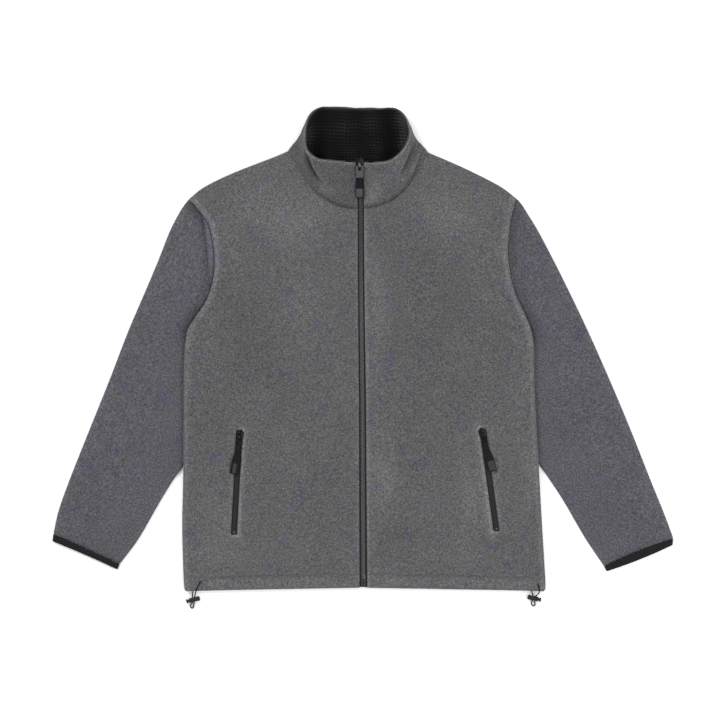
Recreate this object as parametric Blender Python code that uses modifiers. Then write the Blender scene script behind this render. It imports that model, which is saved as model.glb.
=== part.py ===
"""Fleece jacket with a full front zip, lying flat on its back, sleeves out and front side up.

Sizes are in millimetres and are turned to metres when a mesh is made. +X is the viewer's right,
+Y runs from hem to collar and +Z is up. The origin is on the surface that the jacket lies on,
in the middle of its outline. Cloth is one wall for each cut piece. A piece's points come from
its outline and from a few height functions, and whatever lies on a piece is made from the same
functions, moved out or in.
"""

import math

import bmesh
import bpy
import numpy as np
from mathutils import Matrix, Vector

MM = 0.001
PART = "fleece_zip_jacket"
MIDDLE = Vector((0.75, -10.203, 0))
SIDES = {"left": -1, "right": 1}

# Cloth walls and gaps
FLEECE = 2.4
COLLAR_FLEECE = 2.0
LINING = 1.2
CUFF_WALL = 1.8
TAPE = 0.8
GAP = 0.3
TAPE_GAP = 0.5
ARMHOLE_GAP = 0.4

# Heights of the layers over the surface
BODY_HEIGHT = 8.4
SLEEVE_HEIGHT = 6.8
UNDERARM_HEIGHT = 5.2
UNDERARM_REACH = (36.0, 70.0)
CUFF_HEIGHT = 6.2
FOLD_REACH = 6.0
SLEEVE_FOLD_REACH = 5.0
ARMHOLE_ROLL = 1.0
ARMHOLE_ROLL_REACH = 5.0

# The sleeve's underarm edge lies under the body's side, which rides up over it
TUCK_LIFT = 5.9
TUCK_SHOULDER_END = (92.0, 42.0)
TUCK_HEM_END = (-245.0, -192.0)
TUCK_FLAT = ((-192.0, 8.0), (-110.0, 36.0))
TUCK_FADE = 58.0

# Soft swells in the fronts: centre, half length, half width, turn in degrees, height
SWELLS = (
    # x, y, length, width, turn, height
    (-215, 150, 110, 26, 62, 0.7),
    (-120, 40, 150, 40, 78, 0.5),
    (-60, -190, 170, 34, 84, 0.6),
    (-215, -220, 120, 24, 88, 0.5),
    (205, 120, 110, 26, 112, 0.7),
    (110, 10, 150, 38, 98, 0.6),
    (52, -200, 160, 30, 93, 0.7),
    (222, -210, 120, 24, 94, 0.5),
)
NECK_RISE = 2.6
NECK_RISE_REACH = 55.0

# Outline of the body, from the left side seam's hem end to the shoulder and neck: x, y
SIDE_SEAM = {
    "left": ((-285.2, -390.8), (-287.8, -383), (-289.6, -342), (-290.9, -278), (-289.0, -197),
             (-288.2, -83), (-288.2, -43), (-287.2, -8), (-285.6, 12)),
    "right": ((293.2, -390.8), (295.9, -383), (293.8, -342), (289.9, -278), (285.3, -197),
              (279.0, -83), (277.6, -43), (277.3, -8), (276.3, 12)),
}
ARMHOLE = {
    "left": ((-285.6, 12), (-281.2, 33), (-268, 54), (-252, 79), (-242, 110), (-238.6, 142),
             (-241.5, 172), (-250, 205), (-279.0, 243.2)),
    "right": ((276.3, 12), (270.5, 37), (257, 68), (245, 97), (238, 128), (235.4, 160),
              (237.5, 192), (242, 218), (248.5, 243.5)),
}
SHOULDER = {
    "left": ((-279.0, 243.2), (-260, 258.8), (-235, 272.5), (-206, 285.6), (-173, 298.6),
             (-140, 311.2), (-119.8, 320)),
    "right": ((248.5, 243.5), (228, 259.5), (205, 272.6), (179, 285.6), (152, 298.2),
              (127, 309), (105.8, 317.6)),
}
NECK_FRONT = {
    "left": ((-21, 227.3), (-36, 230.2), (-52, 237.3), (-67, 247.2), (-82, 260), (-97, 280.5),
             (-108, 301), (-119.8, 320)),
    "right": ((24, 231.2), (42, 237.5), (56, 246.3), (69, 258), (80, 273), (93, 294),
              (105.8, 317.6)),
}
NECK_FRONT_Y = 227.0
ZIP_RISES_FROM = 229.5
NECK_BACK = ((-119.8, 320), (-98, 315.6), (-52, 311.9), (-7, 311), (45, 311.9), (87, 314.6),
             (105.8, 317.6))
HEM_CENTRE_Y = -385.0
HEM_SIDE_DROP = 5.2
HEM_BEND = 1.0
BACK_HEM_SHORTER = 1.2

# Centre line of the main zip: x, y, and half the opening between the fronts there
ZIP_LINE = (
    # y, x, half_opening
    (-386, 1.8, 6.2),
    (-213, 0.8, 5.8),
    (-83, 0.3, 5.6),
    (46, -1.3, 5.2),
    (143, -2.1, 5.0),
    (232, -2.4, 5.0),
    (268, -3.2, 5.6),
    (302, -4.4, 5.9),
)

# Sleeve outline after its seam: outer edge, then underarm edge, from armhole to cuff: x, y
SLEEVE_TOP = {
    "left": ((-288, 232), (-297, 217.5), (-311, 190), (-330, 142), (-350.6, 93), (-377.6, 30),
             (-408.8, -51), (-441.4, -132), (-473.5, -213), (-490.7, -262), (-498.6, -297.5)),
    "right": ((257.5, 233.5), (266, 220), (284, 190.5), (309, 143), (333, 95), (364, 30),
              (400, -51), (434, -132), (466, -213), (486, -262), (502.0, -305)),
}
SLEEVE_UNDER = {
    "left": ((-256, 6), (-254.5, -30), (-256, -70), (-261, -108), (-270, -146), (-281, -174),
             (-291, -191), (-307, -214), (-326, -245), (-344.8, -278), (-363.8, -310),
             (-391.3, -346.4)),
    "right": ((247, 6), (245.5, -30), (247, -70), (252, -108), (262, -144), (275, -170),
              (286.5, -187), (304, -213), (325, -245), (344, -278), (363, -310),
              (390.2, -350)),
}
SLEEVE_LEAVES_ARMHOLE = 0.1
RELAX_ROUNDS = 400
SLEEVE_RINGS = (0, 0.02, 0.06, 0.12, 0.19, 0.27, 0.36, 0.46, 0.57, 0.68, 0.79, 0.9, 1)

# Cuff band: its open end, and how far the sleeve's end is bowed towards the elbow there
CUFFS = (
    # side, top_x, top_y, under_x, under_y, sleeve_bow, end_bow
    ("left", -500.5, -310.0, -395.2, -355.6, 0.0, 1.0),
    ("right", 501.2, -315.9, 394.4, -358.6, 2.6, -2.2),
)

# Collar rim from its left front end, round the back, to its right front end
COLLAR_RIM = (
    # x, y, height
    (-10.3, 299.6, 33.0),
    (-31, 301.4, 33.5),
    (-62, 304.2, 34.5),
    (-79, 309.2, 35.5),
    (-91, 322.5, 36.5),
    (-93.4, 341.5, 34.5),
    (-91.4, 362, 28.5),
    (-85.6, 378.5, 21.5),
    (-70.5, 389.2, 15.5),
    (-46, 390.2, 12.0),
    (-7, 388.4, 10.5),
    (30, 388.6, 12.0),
    (54.5, 388.4, 15.5),
    (69.5, 376.5, 22.0),
    (76.3, 357, 29.0),
    (76.9, 343, 34.0),
    (72.2, 330, 36.5),
    (62.3, 316.2, 36.0),
    (47, 304.2, 34.8),
    (28, 300.2, 33.6),
    (1.5, 299.8, 33.0),
)
COLLAR_ROWS = (0, 0.08, 0.22, 0.42, 0.62, 0.82, 1)
LINING_FROM_ROW = 1
LINING_FROM_ZIP = 17.0
COLLAR_SWELL = 2.2
COLLAR_PINCH = 5.5
COLLAR_PINCH_WIDTH = 26.0

# Inner back that the open collar shows
NECK_LINING_BOTTOM = 258.0
NECK_LINING_HALF = (-97.0, 84.0)

# Zip parts
ZIP_TAPE_OUTER = 14.0
CHAIN_HALF = 2.9
CHAIN_GAP = 0.4
CHAIN_THICK = 2.4
CHAIN_TOP = -1.0
ZIP_TAPE_TOP = 303.0
BOX_SIZE = (9.0, 14.0, 5.0)
BOX_CORE_HALF = 3.0
SLIDER_WIDTH = 11.0
SLIDER_LENGTH = 16.0
SLIDER_PLATE = 1.6
SLIDER_Y = 300.0
SLIDER_RAISE = -0.7
BRIDGE_HALF = 1.5
BRIDGE_FOOT = 1.2
BRIDGE_HEIGHT = 4.4
HINGE_FORWARD = 4.6
HINGE_UP = 1.7
EYE_HALF = 1.5
LINK_THICK = 1.8
LINK_EYE_HALF = 2.1
LINK_EYE_END = 7.4
GRIP_THICK = 3.4

# Pulls: link, moulded neck and paddle
PULLS = {
    # link_width, link_length, neck_top, neck_bottom, neck_length, paddle_width, paddle_length
    "main": (12.4, 19.5, 6.8, 12.4, 16.6, 13.0, 16.6),
    "pocket": (7.4, 24.0, 9.0, 13.6, 16.0, 12.4, 18.4),
}

# Pocket zips: the ends of each window's centre line, and where the slider and its pull are
POCKETS = (
    # side, top_x, top_y, bottom_x, bottom_y, slider_down, slider_inward, pull_lean
    ("left", -198.4, -130.6, -207.3, -299.1, 8.5, 1.6, 6.7),
    ("right", 194.0, -127.6, 216.6, -293.6, 8.5, 1.1, 8.0),
)
WINDOW_HALF = 5.0
POCKET_TAPE_HALF = 8.5
POCKET_TAPE_OVER = 5.0
POCKET_CHAIN_HALF = 2.6
POCKET_CHAIN_RISE = 1.9
POCKET_SLIDER_LENGTH = 14.0
POCKET_SLIDER_RAISE = 0.9
PULL_DROP = {"main": 0.0, "pocket": 1.7}

# Hem drawcord and its locks
CORD = 2.0
CORD_POINTS = 36
CORDS = {
    # route of the cord's centre, from the face of the front, through the lock twice, into the hem
    "left": ((-261.1, -375.5, 9.9), (-263.9, -380.2, 9.9), (-266.3, -384.6, 9.9),
             (-268.0, -388.4, 9.9), (-268.8, -391.6, 9.4), (-269.4, -393.8, 8.0),
             (-269.9, -396.0, 6.2), (-270.3, -398.2, 4.7), (-270.7, -400.4, 3.9),
             (-271.0, -404.2, 3.9), (-271.4, -408.0, 3.9), (-271.9, -411.4, 3.2),
             (-272.2, -414.6, 2.1), (-273.1, -417.3, 1.3), (-275.0, -418.6, 1.1),
             (-276.8, -417.3, 1.4), (-277.4, -414.8, 2.1), (-276.8, -412.4, 2.9),
             (-275.3, -410.6, 3.5), (-274.0, -408.4, 3.9), (-274.4, -404.0, 3.9),
             (-274.6, -400.6, 3.9), (-274.2, -396.4, 4.0), (-273.6, -392.6, 4.2),
             (-272.8, -388.0, 4.2), (-272.2, -377.0, 4.2)),
    "right": ((283.6, -379.7, 9.9), (284.6, -383.6, 9.9), (285.7, -387.2, 9.9),
              (285.9, -391.2, 9.5), (285.0, -393.4, 8.0), (283.3, -395.7, 6.0),
              (281.3, -397.8, 4.6), (279.5, -399.3, 3.9), (278.6, -402.6, 3.9),
              (278.0, -406.4, 3.9), (278.7, -409.0, 3.4), (279.2, -411.4, 2.5),
              (278.5, -413.7, 1.4), (276.2, -414.8, 1.1), (274.0, -413.4, 1.3),
              (273.1, -410.8, 2.2), (273.6, -408.0, 3.2), (274.8, -405.6, 3.9),
              (275.6, -402.4, 3.9), (275.9, -399.0, 3.9), (275.1, -395.6, 3.9),
              (274.1, -392.4, 4.1), (273.0, -388.2, 4.2), (272.4, -378.0, 4.2)),
}
LOCKS = (
    # side, closed_x, closed_y, turn (direction of the plunger from the closed end)
    ("left", -262.4, -401.9, 194.0),
    ("right", 266.6, -399.8, -13.0),
)
BARREL_RADIUS = 3.9
BARREL_LENGTH = 17.4
BARREL_SLOT = (3.4, 14.3)
BARREL_SLOT_HEIGHT = 3.2
BORE_RADIUS = 2.7
BORE_DEPTH = 2.5
PLUNGER_RADIUS = 2.35
PLUNGER_IN = 0.6
PLUNGER_OUT = 2.4
PLUNGER_HEAD = (2.35, 3.6, 2.6)

COLOURS = {
    # sRGB levels 0 to 255, roughness, metallic
    "fleece": ((101, 101, 102), 0.95, 0.0),
    "sleeve_fleece": ((92, 91, 97), 0.95, 0.0),
    "waffle_lining": ((26, 26, 26), 0.95, 0.0),
    "cuff_binding": ((35, 35, 36), 0.9, 0.0),
    "zip_tape": ((42, 42, 44), 0.85, 0.0),
    "zip_chain": ((74, 74, 76), 0.5, 0.0),
    "zip_metal": ((60, 60, 62), 0.4, 0.9),
    "pull_rubber": ((56, 56, 57), 0.6, 0.0),
    "cord": ((34, 34, 34), 0.85, 0.0),
    "lock_plastic": ((28, 28, 29), 0.5, 0.0),
}


def clear_scene():
    for old in list(bpy.data.objects):
        bpy.data.objects.remove(old, do_unlink=True)


def collection(name):
    made = bpy.data.collections.new(name)
    bpy.context.scene.collection.children.link(made)
    return made


def linear(level):
    value = level / 255
    return value / 12.92 if value <= 0.04045 else ((value + 0.055) / 1.055) ** 2.4


def material(name):
    found = bpy.data.materials.get(name)
    if found:
        return found
    levels, roughness, metallic = COLOURS[name]
    made = bpy.data.materials.new(name)
    made.use_nodes = True
    shader = made.node_tree.nodes["Principled BSDF"]
    shader.inputs["Base Color"].default_value = (*(linear(v) for v in levels), 1)
    shader.inputs["Roughness"].default_value = roughness
    shader.inputs["Metallic"].default_value = metallic
    return made


def keep(obj, look):
    """Puts a finished piece in the part's collection with its material."""
    obj.data.materials.append(material(look))
    for group in list(obj.users_collection):
        group.objects.unlink(obj)
    bpy.data.collections[PART].objects.link(obj)
    return obj


def from_bmesh(name, shape):
    mesh = bpy.data.meshes.new(name)
    shape.to_mesh(mesh)
    shape.free()
    obj = bpy.data.objects.new(name, mesh)
    bpy.context.scene.collection.objects.link(obj)
    return obj


# Curves and distances in the plane


def smooth(value):
    value = np.clip(value, 0, 1)
    return value * value * (3 - 2 * value)


def through(points, step=2.0):
    """A smooth line through the points, as closely spaced points (Catmull-Rom)."""
    points = np.asarray(points, float)
    ends = np.vstack([2 * points[0] - points[1], points, 2 * points[-1] - points[-2]])
    line = []
    for a, b, c, d in zip(ends, ends[1:], ends[2:], ends[3:]):
        count = max(2, int(np.linalg.norm(c - b) / step))
        for t in np.arange(count) / count:
            bend = (2 * a - 5 * b + 4 * c - d) * t * t + (3 * b - a - 3 * c + d) * t**3
            line.append((2 * b + (c - a) * t + bend) / 2)
    line.append(points[-1])
    return np.array(line)


def lengths(line):
    return np.concatenate([[0], np.cumsum(np.linalg.norm(np.diff(line, axis=0), axis=1))])


def at(line, fractions):
    """The points at these fractions of a line's length."""
    run = lengths(line)
    places = np.asarray(fractions, float) * run[-1]
    return np.column_stack([np.interp(places, run, line[:, k]) for k in range(line.shape[1])])


def outward(line, side):
    """Unit normals of a line in the plane that point away from the body on that side."""
    tangent = np.gradient(line, axis=0)
    tangent /= np.linalg.norm(tangent, axis=1)[:, None]
    normal = np.column_stack([-tangent[:, 1], tangent[:, 0]])
    return normal * np.where(normal[:, :1] * side < 0, -1, 1)


def nearest(points, line, normals):
    """Distance from each point to a line, and the unit direction in which it lies."""
    start, run = line[:-1], np.diff(line, axis=0)
    reach = points[:, None, :] - start[None]
    t = np.clip((reach * run[None]).sum(2) / (run * run).sum(1)[None], 0, 1)
    away = start[None] + t[:, :, None] * run[None] - points[:, None, :]
    distance = np.linalg.norm(away, axis=2)
    best = distance.argmin(1)
    rows = np.arange(len(points))
    gap = distance[rows, best]
    direction = away[rows, best] / np.maximum(gap, 1e-9)[:, None]
    direction = np.where(gap[:, None] > 0.05, direction, normals[best])
    return gap, direction


SEAM_LINE = {side: through(SIDE_SEAM[side]) for side in SIDES}
ARMHOLE_LINE = {side: through(ARMHOLE[side]) for side in SIDES}
SHOULDER_LINE = {side: through(SHOULDER[side]) for side in SIDES}
SIDE_EDGE = {side: np.vstack([SEAM_LINE[side], ARMHOLE_LINE[side][1:]]) for side in SIDES}
FOLDS = [(SEAM_LINE[side], outward(SEAM_LINE[side], SIDES[side])) for side in SIDES]
FOLDS += [(SHOULDER_LINE[side], outward(SHOULDER_LINE[side], SIDES[side])) for side in SIDES]
ZIP_ROWS = np.array(ZIP_LINE, float)


def zip_x(y):
    return np.interp(y, ZIP_ROWS[:, 0], ZIP_ROWS[:, 1])


def zip_edge_x(side, y):
    return zip_x(y) + SIDES[side] * np.interp(y, ZIP_ROWS[:, 0], ZIP_ROWS[:, 2])


NECK_LINE = {
    side: through([(float(zip_edge_x(side, NECK_FRONT_Y)), NECK_FRONT_Y), *NECK_FRONT[side]])
    for side in SIDES
}
NECK_BACK_LINE = through(NECK_BACK)
NECKLINES = np.vstack([NECK_LINE["left"][::-1], NECK_LINE["right"]])


# Heights over the surface


def lift(points):
    """How far the sleeves tucked under the sides raise the body."""
    x, y = points[:, 0], points[:, 1]
    start, full = TUCK_SHOULDER_END
    end, last = TUCK_HEM_END
    along = smooth((start - y) / (start - full)) * smooth((y - end) / (last - end))
    flat = np.interp(y, *zip(*TUCK_FLAT))
    total = np.zeros(len(points))
    for side, sign in SIDES.items():
        edge = np.interp(y, SIDE_EDGE[side][:, 1], SIDE_EDGE[side][:, 0])
        inside = sign * (edge - x)
        across = 1 - smooth((inside - flat) / TUCK_FADE)
        total += np.where(x * sign > 0, TUCK_LIFT * along * across, 0)
    return total


def swell(points):
    total = np.zeros(len(points))
    for x, y, length, width, turn, height in SWELLS:
        angle = math.radians(turn)
        along = (points[:, 0] - x) * math.cos(angle) + (points[:, 1] - y) * math.sin(angle)
        across = (points[:, 1] - y) * math.cos(angle) - (points[:, 0] - x) * math.sin(angle)
        total += height * np.exp(-((along / length) ** 2) - (across / width) ** 2)
    return total


def front_height(points):
    """Height of the fronts' outer face, where it isn't rounding over a folded edge."""
    to_neck, _ = nearest(points, NECKLINES, outward(NECKLINES, 1))
    rise = NECK_RISE * (1 - smooth(to_neck / NECK_RISE_REACH))
    return lift(points) + BODY_HEIGHT + swell(points) + rise


def folded_edge(points, folds):
    """Distance to the nearest of some folded edges, and the direction in which it lies."""
    found = [nearest(points, line, normals) for line, normals in folds]
    gaps = np.array([gap for gap, _ in found])
    best = gaps.argmin(0)
    rows = np.arange(len(points))
    return gaps[best, rows], np.array([way for _, way in found])[best, rows]


def body_wall(points, face, thickness=FLEECE):
    """Outer and inner points of a front (face 1) or the back (face -1) over points in the plane."""
    gap, way = folded_edge(points, FOLDS)
    lean = 1 - np.minimum(gap, FOLD_REACH) / FOLD_REACH
    rise = np.sqrt(1 - lean**2)
    low, high = lift(points), front_height(points)
    half = (high - low) / 2
    z = low + half + face * (GAP / 2 + (half - GAP / 2) * rise)
    if face > 0:
        for side, sign in SIDES.items():
            line = ARMHOLE_LINE[side]
            to_armhole, _ = nearest(points, line, outward(line, sign))
            z -= ARMHOLE_ROLL * rise * (1 - smooth(to_armhole / ARMHOLE_ROLL_REACH))
    outer = np.column_stack([points, z])
    normal = np.column_stack([way * lean[:, None], face * rise])
    return outer, outer - thickness * normal


# Meshes


def wall(name, outer, inner, look, closed=False):
    """A closed cloth wall between two grids of points, open or closed along their second axis."""
    rows, columns = outer.shape[:2]
    shape = bmesh.new()
    corners = [
        [[shape.verts.new((Vector(p) - MIDDLE) * MM) for p in row] for row in grid]
        for grid in (outer, inner)
    ]
    steps = columns if closed else columns - 1
    for i in range(rows - 1):
        for j in range(steps):
            k = (j + 1) % columns
            for grid in corners:
                shape.faces.new((grid[i][j], grid[i][k], grid[i + 1][k], grid[i + 1][j]))
    for i in (0, rows - 1):
        for j in range(steps):
            k = (j + 1) % columns
            a, b = corners[0][i], corners[1][i]
            shape.faces.new((a[j], a[k], b[k], b[j]))
    if not closed:
        for j in (0, columns - 1):
            for i in range(rows - 1):
                a, b = corners
                shape.faces.new((a[i][j], a[i + 1][j], b[i + 1][j], b[i][j]))
    bmesh.ops.recalc_face_normals(shape, faces=shape.faces)
    obj = from_bmesh(name, shape)
    obj.data.shade_smooth()
    obj.data.set_sharp_from_angle(angle=math.radians(50))
    return keep(obj, look)


def box(name, size, centre):
    shape = bmesh.new()
    bmesh.ops.create_cube(shape, size=1, matrix=Matrix.Diagonal((*size, 1)))
    bmesh.ops.transform(shape, matrix=Matrix.Translation(centre), verts=shape.verts)
    bmesh.ops.scale(shape, vec=(MM, MM, MM), verts=shape.verts)
    return from_bmesh(name, shape)


def cone(name, start_radius, end_radius, length, start, segments=20):
    """A turned piece along +X from start."""
    shape = bmesh.new()
    bmesh.ops.create_cone(shape, cap_ends=True, segments=segments, radius1=start_radius,
                          radius2=end_radius, depth=length)
    spin = Matrix.Rotation(math.radians(90), 4, "Y")
    move = Matrix.Translation(Vector(start) + Vector((length / 2, 0, 0)))
    bmesh.ops.transform(shape, matrix=move @ spin, verts=shape.verts)
    bmesh.ops.scale(shape, vec=(MM, MM, MM), verts=shape.verts)
    return from_bmesh(name, shape)


def combine(obj, tool, operation):
    """Cuts obj with a tool, or joins the tool to it, and puts the tool away."""
    tool.hide_render = True
    tool.display_type = "WIRE"
    for group in list(tool.users_collection):
        group.objects.unlink(tool)
    bpy.data.collections["cutters"].objects.link(tool)
    change = obj.modifiers.new(tool.name, "BOOLEAN")
    change.operation = operation
    change.object = tool
    return obj


def round_edges(obj, width, segments=1):
    bevel = obj.modifiers.new("round_edges", "BEVEL")
    bevel.width = width * MM
    bevel.segments = segments
    bevel.limit_method = "ANGLE"
    bevel.angle_limit = math.radians(40)
    return obj


def in_metres(matrix):
    """A placement in the drawing's millimetres, as a placement from the jacket's own origin."""
    world = matrix.copy()
    world.translation = (world.translation - MIDDLE) * MM
    return world


def place(obj, matrix):
    """Places a piece and the tools that shape it."""
    for piece in [obj, *(m.object for m in obj.modifiers if m.type == "BOOLEAN")]:
        piece.matrix_world = in_metres(matrix)
    return obj


def hang(obj, empty):
    """Hangs a moving piece and the tools that shape it on the empty at its hinge."""
    for piece in [obj, *(m.object for m in obj.modifiers if m.type == "BOOLEAN")]:
        piece.parent = empty
    return obj


# Fronts, back and sleeves


def roll_steps(reach, length):
    """Fractions of a length that follow a rounded edge in from its start."""
    return [reach * (1 - math.cos(math.radians(a))) / length for a in (0, 45, 90)]


ARMHOLE_FRACTIONS = {}
for side_name in SIDES:
    armhole_length = lengths(ARMHOLE_LINE[side_name])[-1]
    edge_steps = roll_steps(FOLD_REACH, armhole_length)
    middle = [0.1, 0.21, 0.33, 0.45, 0.57, 0.69, 0.8, 0.9]
    ARMHOLE_FRACTIONS[side_name] = edge_steps + middle + [1 - f for f in reversed(edge_steps)]
SEAM_FRACTIONS = (0, 0.035, 0.08, 0.18, 0.29, 0.4, 0.51, 0.62, 0.73, 0.83, 0.91, 0.965, 1)
NECK_COLUMN = 0.38
FRONT_COLUMNS = ((0, 0.17, 0.34, 0.5, 0.66, 0.82), (0.5, 0.62, 0.74, 0.86, 0.94))
BACK_COLUMNS = ((0, 0.5, 0.82), (0.56, 0.74, 0.86, 0.94))


def columns_of(side, middles):
    """Fractions of the half width, and how many of them reach the neckline."""
    neck_length = lengths(NECK_LINE[side])[-1]
    neck = [*middles[0], *(1 - f for f in reversed(roll_steps(FOLD_REACH, neck_length)))]
    hem_length = abs(SIDE_SEAM[side][0][0])
    edge = [1 - f for f in reversed(roll_steps(FOLD_REACH, hem_length))]
    return [NECK_COLUMN * f for f in neck] + [*middles[1], *edge], len(neck)


def top_edge(side, fractions, count, neck_line):
    """The neckline and then the shoulder, one point for each column."""
    neck = at(neck_line, np.array(fractions[:count]) / NECK_COLUMN)
    along = (np.array(fractions[count:]) - NECK_COLUMN) / (1 - NECK_COLUMN)
    return np.vstack([neck, at(SHOULDER_LINE[side][::-1], along)])


def side_rows(side):
    seam = at(SEAM_LINE[side], SEAM_FRACTIONS)
    return np.vstack([seam, at(ARMHOLE_LINE[side], ARMHOLE_FRACTIONS[side])[1:]])


def patch(bottom, top, near, far, across, up):
    """Points inside four edges (a Coons patch), rows from bottom to top."""
    u = np.asarray(across)[None, :, None]
    v = np.asarray(up)[:, None, None]
    ruled = (1 - v) * bottom[None] + v * top[None] + (1 - u) * near[:, None] + u * far[:, None]
    corners = (1 - u) * (1 - v) * bottom[0] + u * (1 - v) * bottom[-1]
    corners = corners + (1 - u) * v * top[0] + u * v * top[-1]
    return ruled - corners


def hem_edge(side, start, fractions):
    """The hem from the middle to the side seam's end, rounded up at that corner."""
    end = SEAM_LINE[side][0]
    fractions = np.array(fractions)
    x = start + (end[0] - start) * fractions
    y = HEM_CENTRE_Y - HEM_SIDE_DROP * np.abs(x / end[0]) ** HEM_BEND
    return np.column_stack([x, y + (end[1] - y[-1]) * fractions**8])


def front_points(side):
    fractions, count = columns_of(side, FRONT_COLUMNS)
    far = side_rows(side)
    up = lengths(far) / lengths(far)[-1]
    top = top_edge(side, fractions, count, NECK_LINE[side])
    bottom = hem_edge(side, float(zip_edge_x(side, HEM_CENTRE_Y)), fractions)
    zip_y = bottom[0, 1] + (NECK_FRONT_Y - bottom[0, 1]) * up
    near = np.column_stack([zip_edge_x(side, zip_y), zip_y])
    return patch(bottom, top, near, far, fractions, up)


def cloth(name, grid, face, look):
    flat = grid.reshape(-1, 2)
    outer, inner = body_wall(flat, face)
    shape = (*grid.shape[:2], 3)
    return wall(name, outer.reshape(shape), inner.reshape(shape), look)


def build_fronts():
    for side in SIDES:
        front = cloth(f"front_{side}", front_points(side), 1, "fleece")
        cut_pocket(front, side)


def half_back(side, up):
    """One half of the back, columns from the middle of the back to its side."""
    fractions, count = columns_of(side, BACK_COLUMNS)
    sign = SIDES[side]
    middle_top = np.interp(0, NECK_BACK_LINE[:, 0], NECK_BACK_LINE[:, 1])
    half = NECK_BACK_LINE[NECK_BACK_LINE[:, 0] * sign > 1][::sign]
    top = top_edge(side, fractions, count, np.vstack([[[0.0, middle_top]], half]))
    bottom = hem_edge(side, 0.0, fractions)
    bottom[:, 1] += BACK_HEM_SHORTER * (1 - np.array(fractions) ** 8)
    near = bottom[0] + (top[0] - bottom[0]) * up[:, None]
    return patch(bottom, top, near, side_rows(side), fractions, up)


def build_back():
    halves = {}
    for side in SIDES:
        run = lengths(side_rows(side))
        halves[side] = half_back(side, run / run[-1])
    middle = (halves["left"][:, :1] + halves["right"][:, :1]) / 2
    grid = np.concatenate([halves["left"][:, :0:-1], middle, halves["right"][:, 1:]], axis=1)
    cloth("back", grid, -1, "fleece")


def flat_tube(name, grid, folds, height, thickness, look):
    """A tube pressed flat over a grid of points in the plane, folded at its two long edges."""
    flat = grid.reshape(-1, 2)
    gap, _ = folded_edge(flat, folds)
    along = np.gradient(grid, axis=1)
    along /= np.linalg.norm(along, axis=2)[:, :, None]
    along[:, : grid.shape[1] // 2] *= -1
    way = along.reshape(-1, 2)
    lean = 1 - np.minimum(gap, SLEEVE_FOLD_REACH) / SLEEVE_FOLD_REACH
    rise = np.sqrt(1 - lean**2)
    skins = []
    for face in (1, -1):
        outer = np.column_stack([flat, height / 2 * (1 + face * rise)])
        normal = np.column_stack([way * lean[:, None], face * rise])
        shape = (*grid.shape[:2], 3)
        skins.append([skin.reshape(shape) for skin in (outer, outer - thickness * normal)])
    loops = [np.concatenate([over, under[:, -2:0:-1]], axis=1) for over, under in zip(*skins)]
    return wall(name, *loops, look, closed=True)


def sleeve_seam(side):
    """Points of the sleeve's end: along the armhole, then under the body to the underarm."""
    fractions = [f for f in reversed(ARMHOLE_FRACTIONS[side]) if f >= SLEEVE_LEAVES_ARMHOLE]
    line = ARMHOLE_LINE[side]
    run = lengths(line) / lengths(line)[-1]
    ways = outward(line, SIDES[side])
    normal = np.column_stack([np.interp(fractions, run, ways[:, k]) for k in range(2)])
    seam = at(line, fractions) + ARMHOLE_GAP * normal
    underarm = np.array(SLEEVE_UNDER[side][0], float)
    reach = np.linalg.norm(underarm - seam[-1])
    hidden = np.array([0.35, 0.7, *(1 - f for f in roll_steps(SLEEVE_FOLD_REACH, reach)[::-1])])
    return np.vstack([seam, seam[-1] + (underarm - seam[-1]) * hidden[:, None]])


def bowed(start, end, steps, bow):
    line = start + (end - start) * steps[:, None]
    return line + np.array([0, 4 * bow]) * (steps * (1 - steps))[:, None]


def sleeve_outline(side):
    """The sleeve's end at the armhole, and its outer and underarm edges."""
    seam = sleeve_seam(side)
    top = through([seam[0], *SLEEVE_TOP[side]])
    under = through(SLEEVE_UNDER[side])
    return seam, top, under


def relaxed(grid):
    """Moves the inner points of a grid until its lines cross evenly, its four edges held."""
    grid = grid.copy()
    for _ in range(RELAX_ROUNDS):
        east, west = grid[1:-1, 2:], grid[1:-1, :-2]
        north, south = grid[2:, 1:-1], grid[:-2, 1:-1]
        u, v = (east - west) / 2, (north - south) / 2
        a = (v * v).sum(2, keepdims=True)
        b = (u * v).sum(2, keepdims=True)
        c = (u * u).sum(2, keepdims=True)
        skew = (grid[2:, 2:] - grid[2:, :-2] - grid[:-2, 2:] + grid[:-2, :-2]) / 4
        grid[1:-1, 1:-1] = (a * (east + west) + c * (north + south) - 2 * b * skew) / (2 * a + 2 * c)
    return grid


def fold_steps(row):
    """The row with points added beside its two ends, where the tube folds."""
    added = []
    for end, inner in ((row[0], row[1]), (row[-1], row[-2])):
        way = (inner - end) / np.linalg.norm(inner - end)
        added.append([end + way * d for d in roll_steps(SLEEVE_FOLD_REACH, 1)[1:]])
    return np.vstack([row[:1], added[0], row[1:-1], added[1][::-1], row[-1:]])


def sleeve_grid(side):
    """Rows of points over a sleeve, from its seam at the armhole to its end at the cuff."""
    seam, top, under = sleeve_outline(side)
    main = np.vstack([seam[:1], seam[3:-3], seam[-1:]])
    across = lengths(main) / lengths(main)[-1]
    bow = next(row[5] for row in CUFFS if row[0] == side)
    rings = np.array(SLEEVE_RINGS)
    end = bowed(top[-1], under[-1], across, bow)
    grid = patch(main, end, at(top, rings), at(under, rings), across, rings)
    grid = relaxed(grid)
    return np.array([seam, *(fold_steps(row) for row in grid[1:])]), top, under


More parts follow.
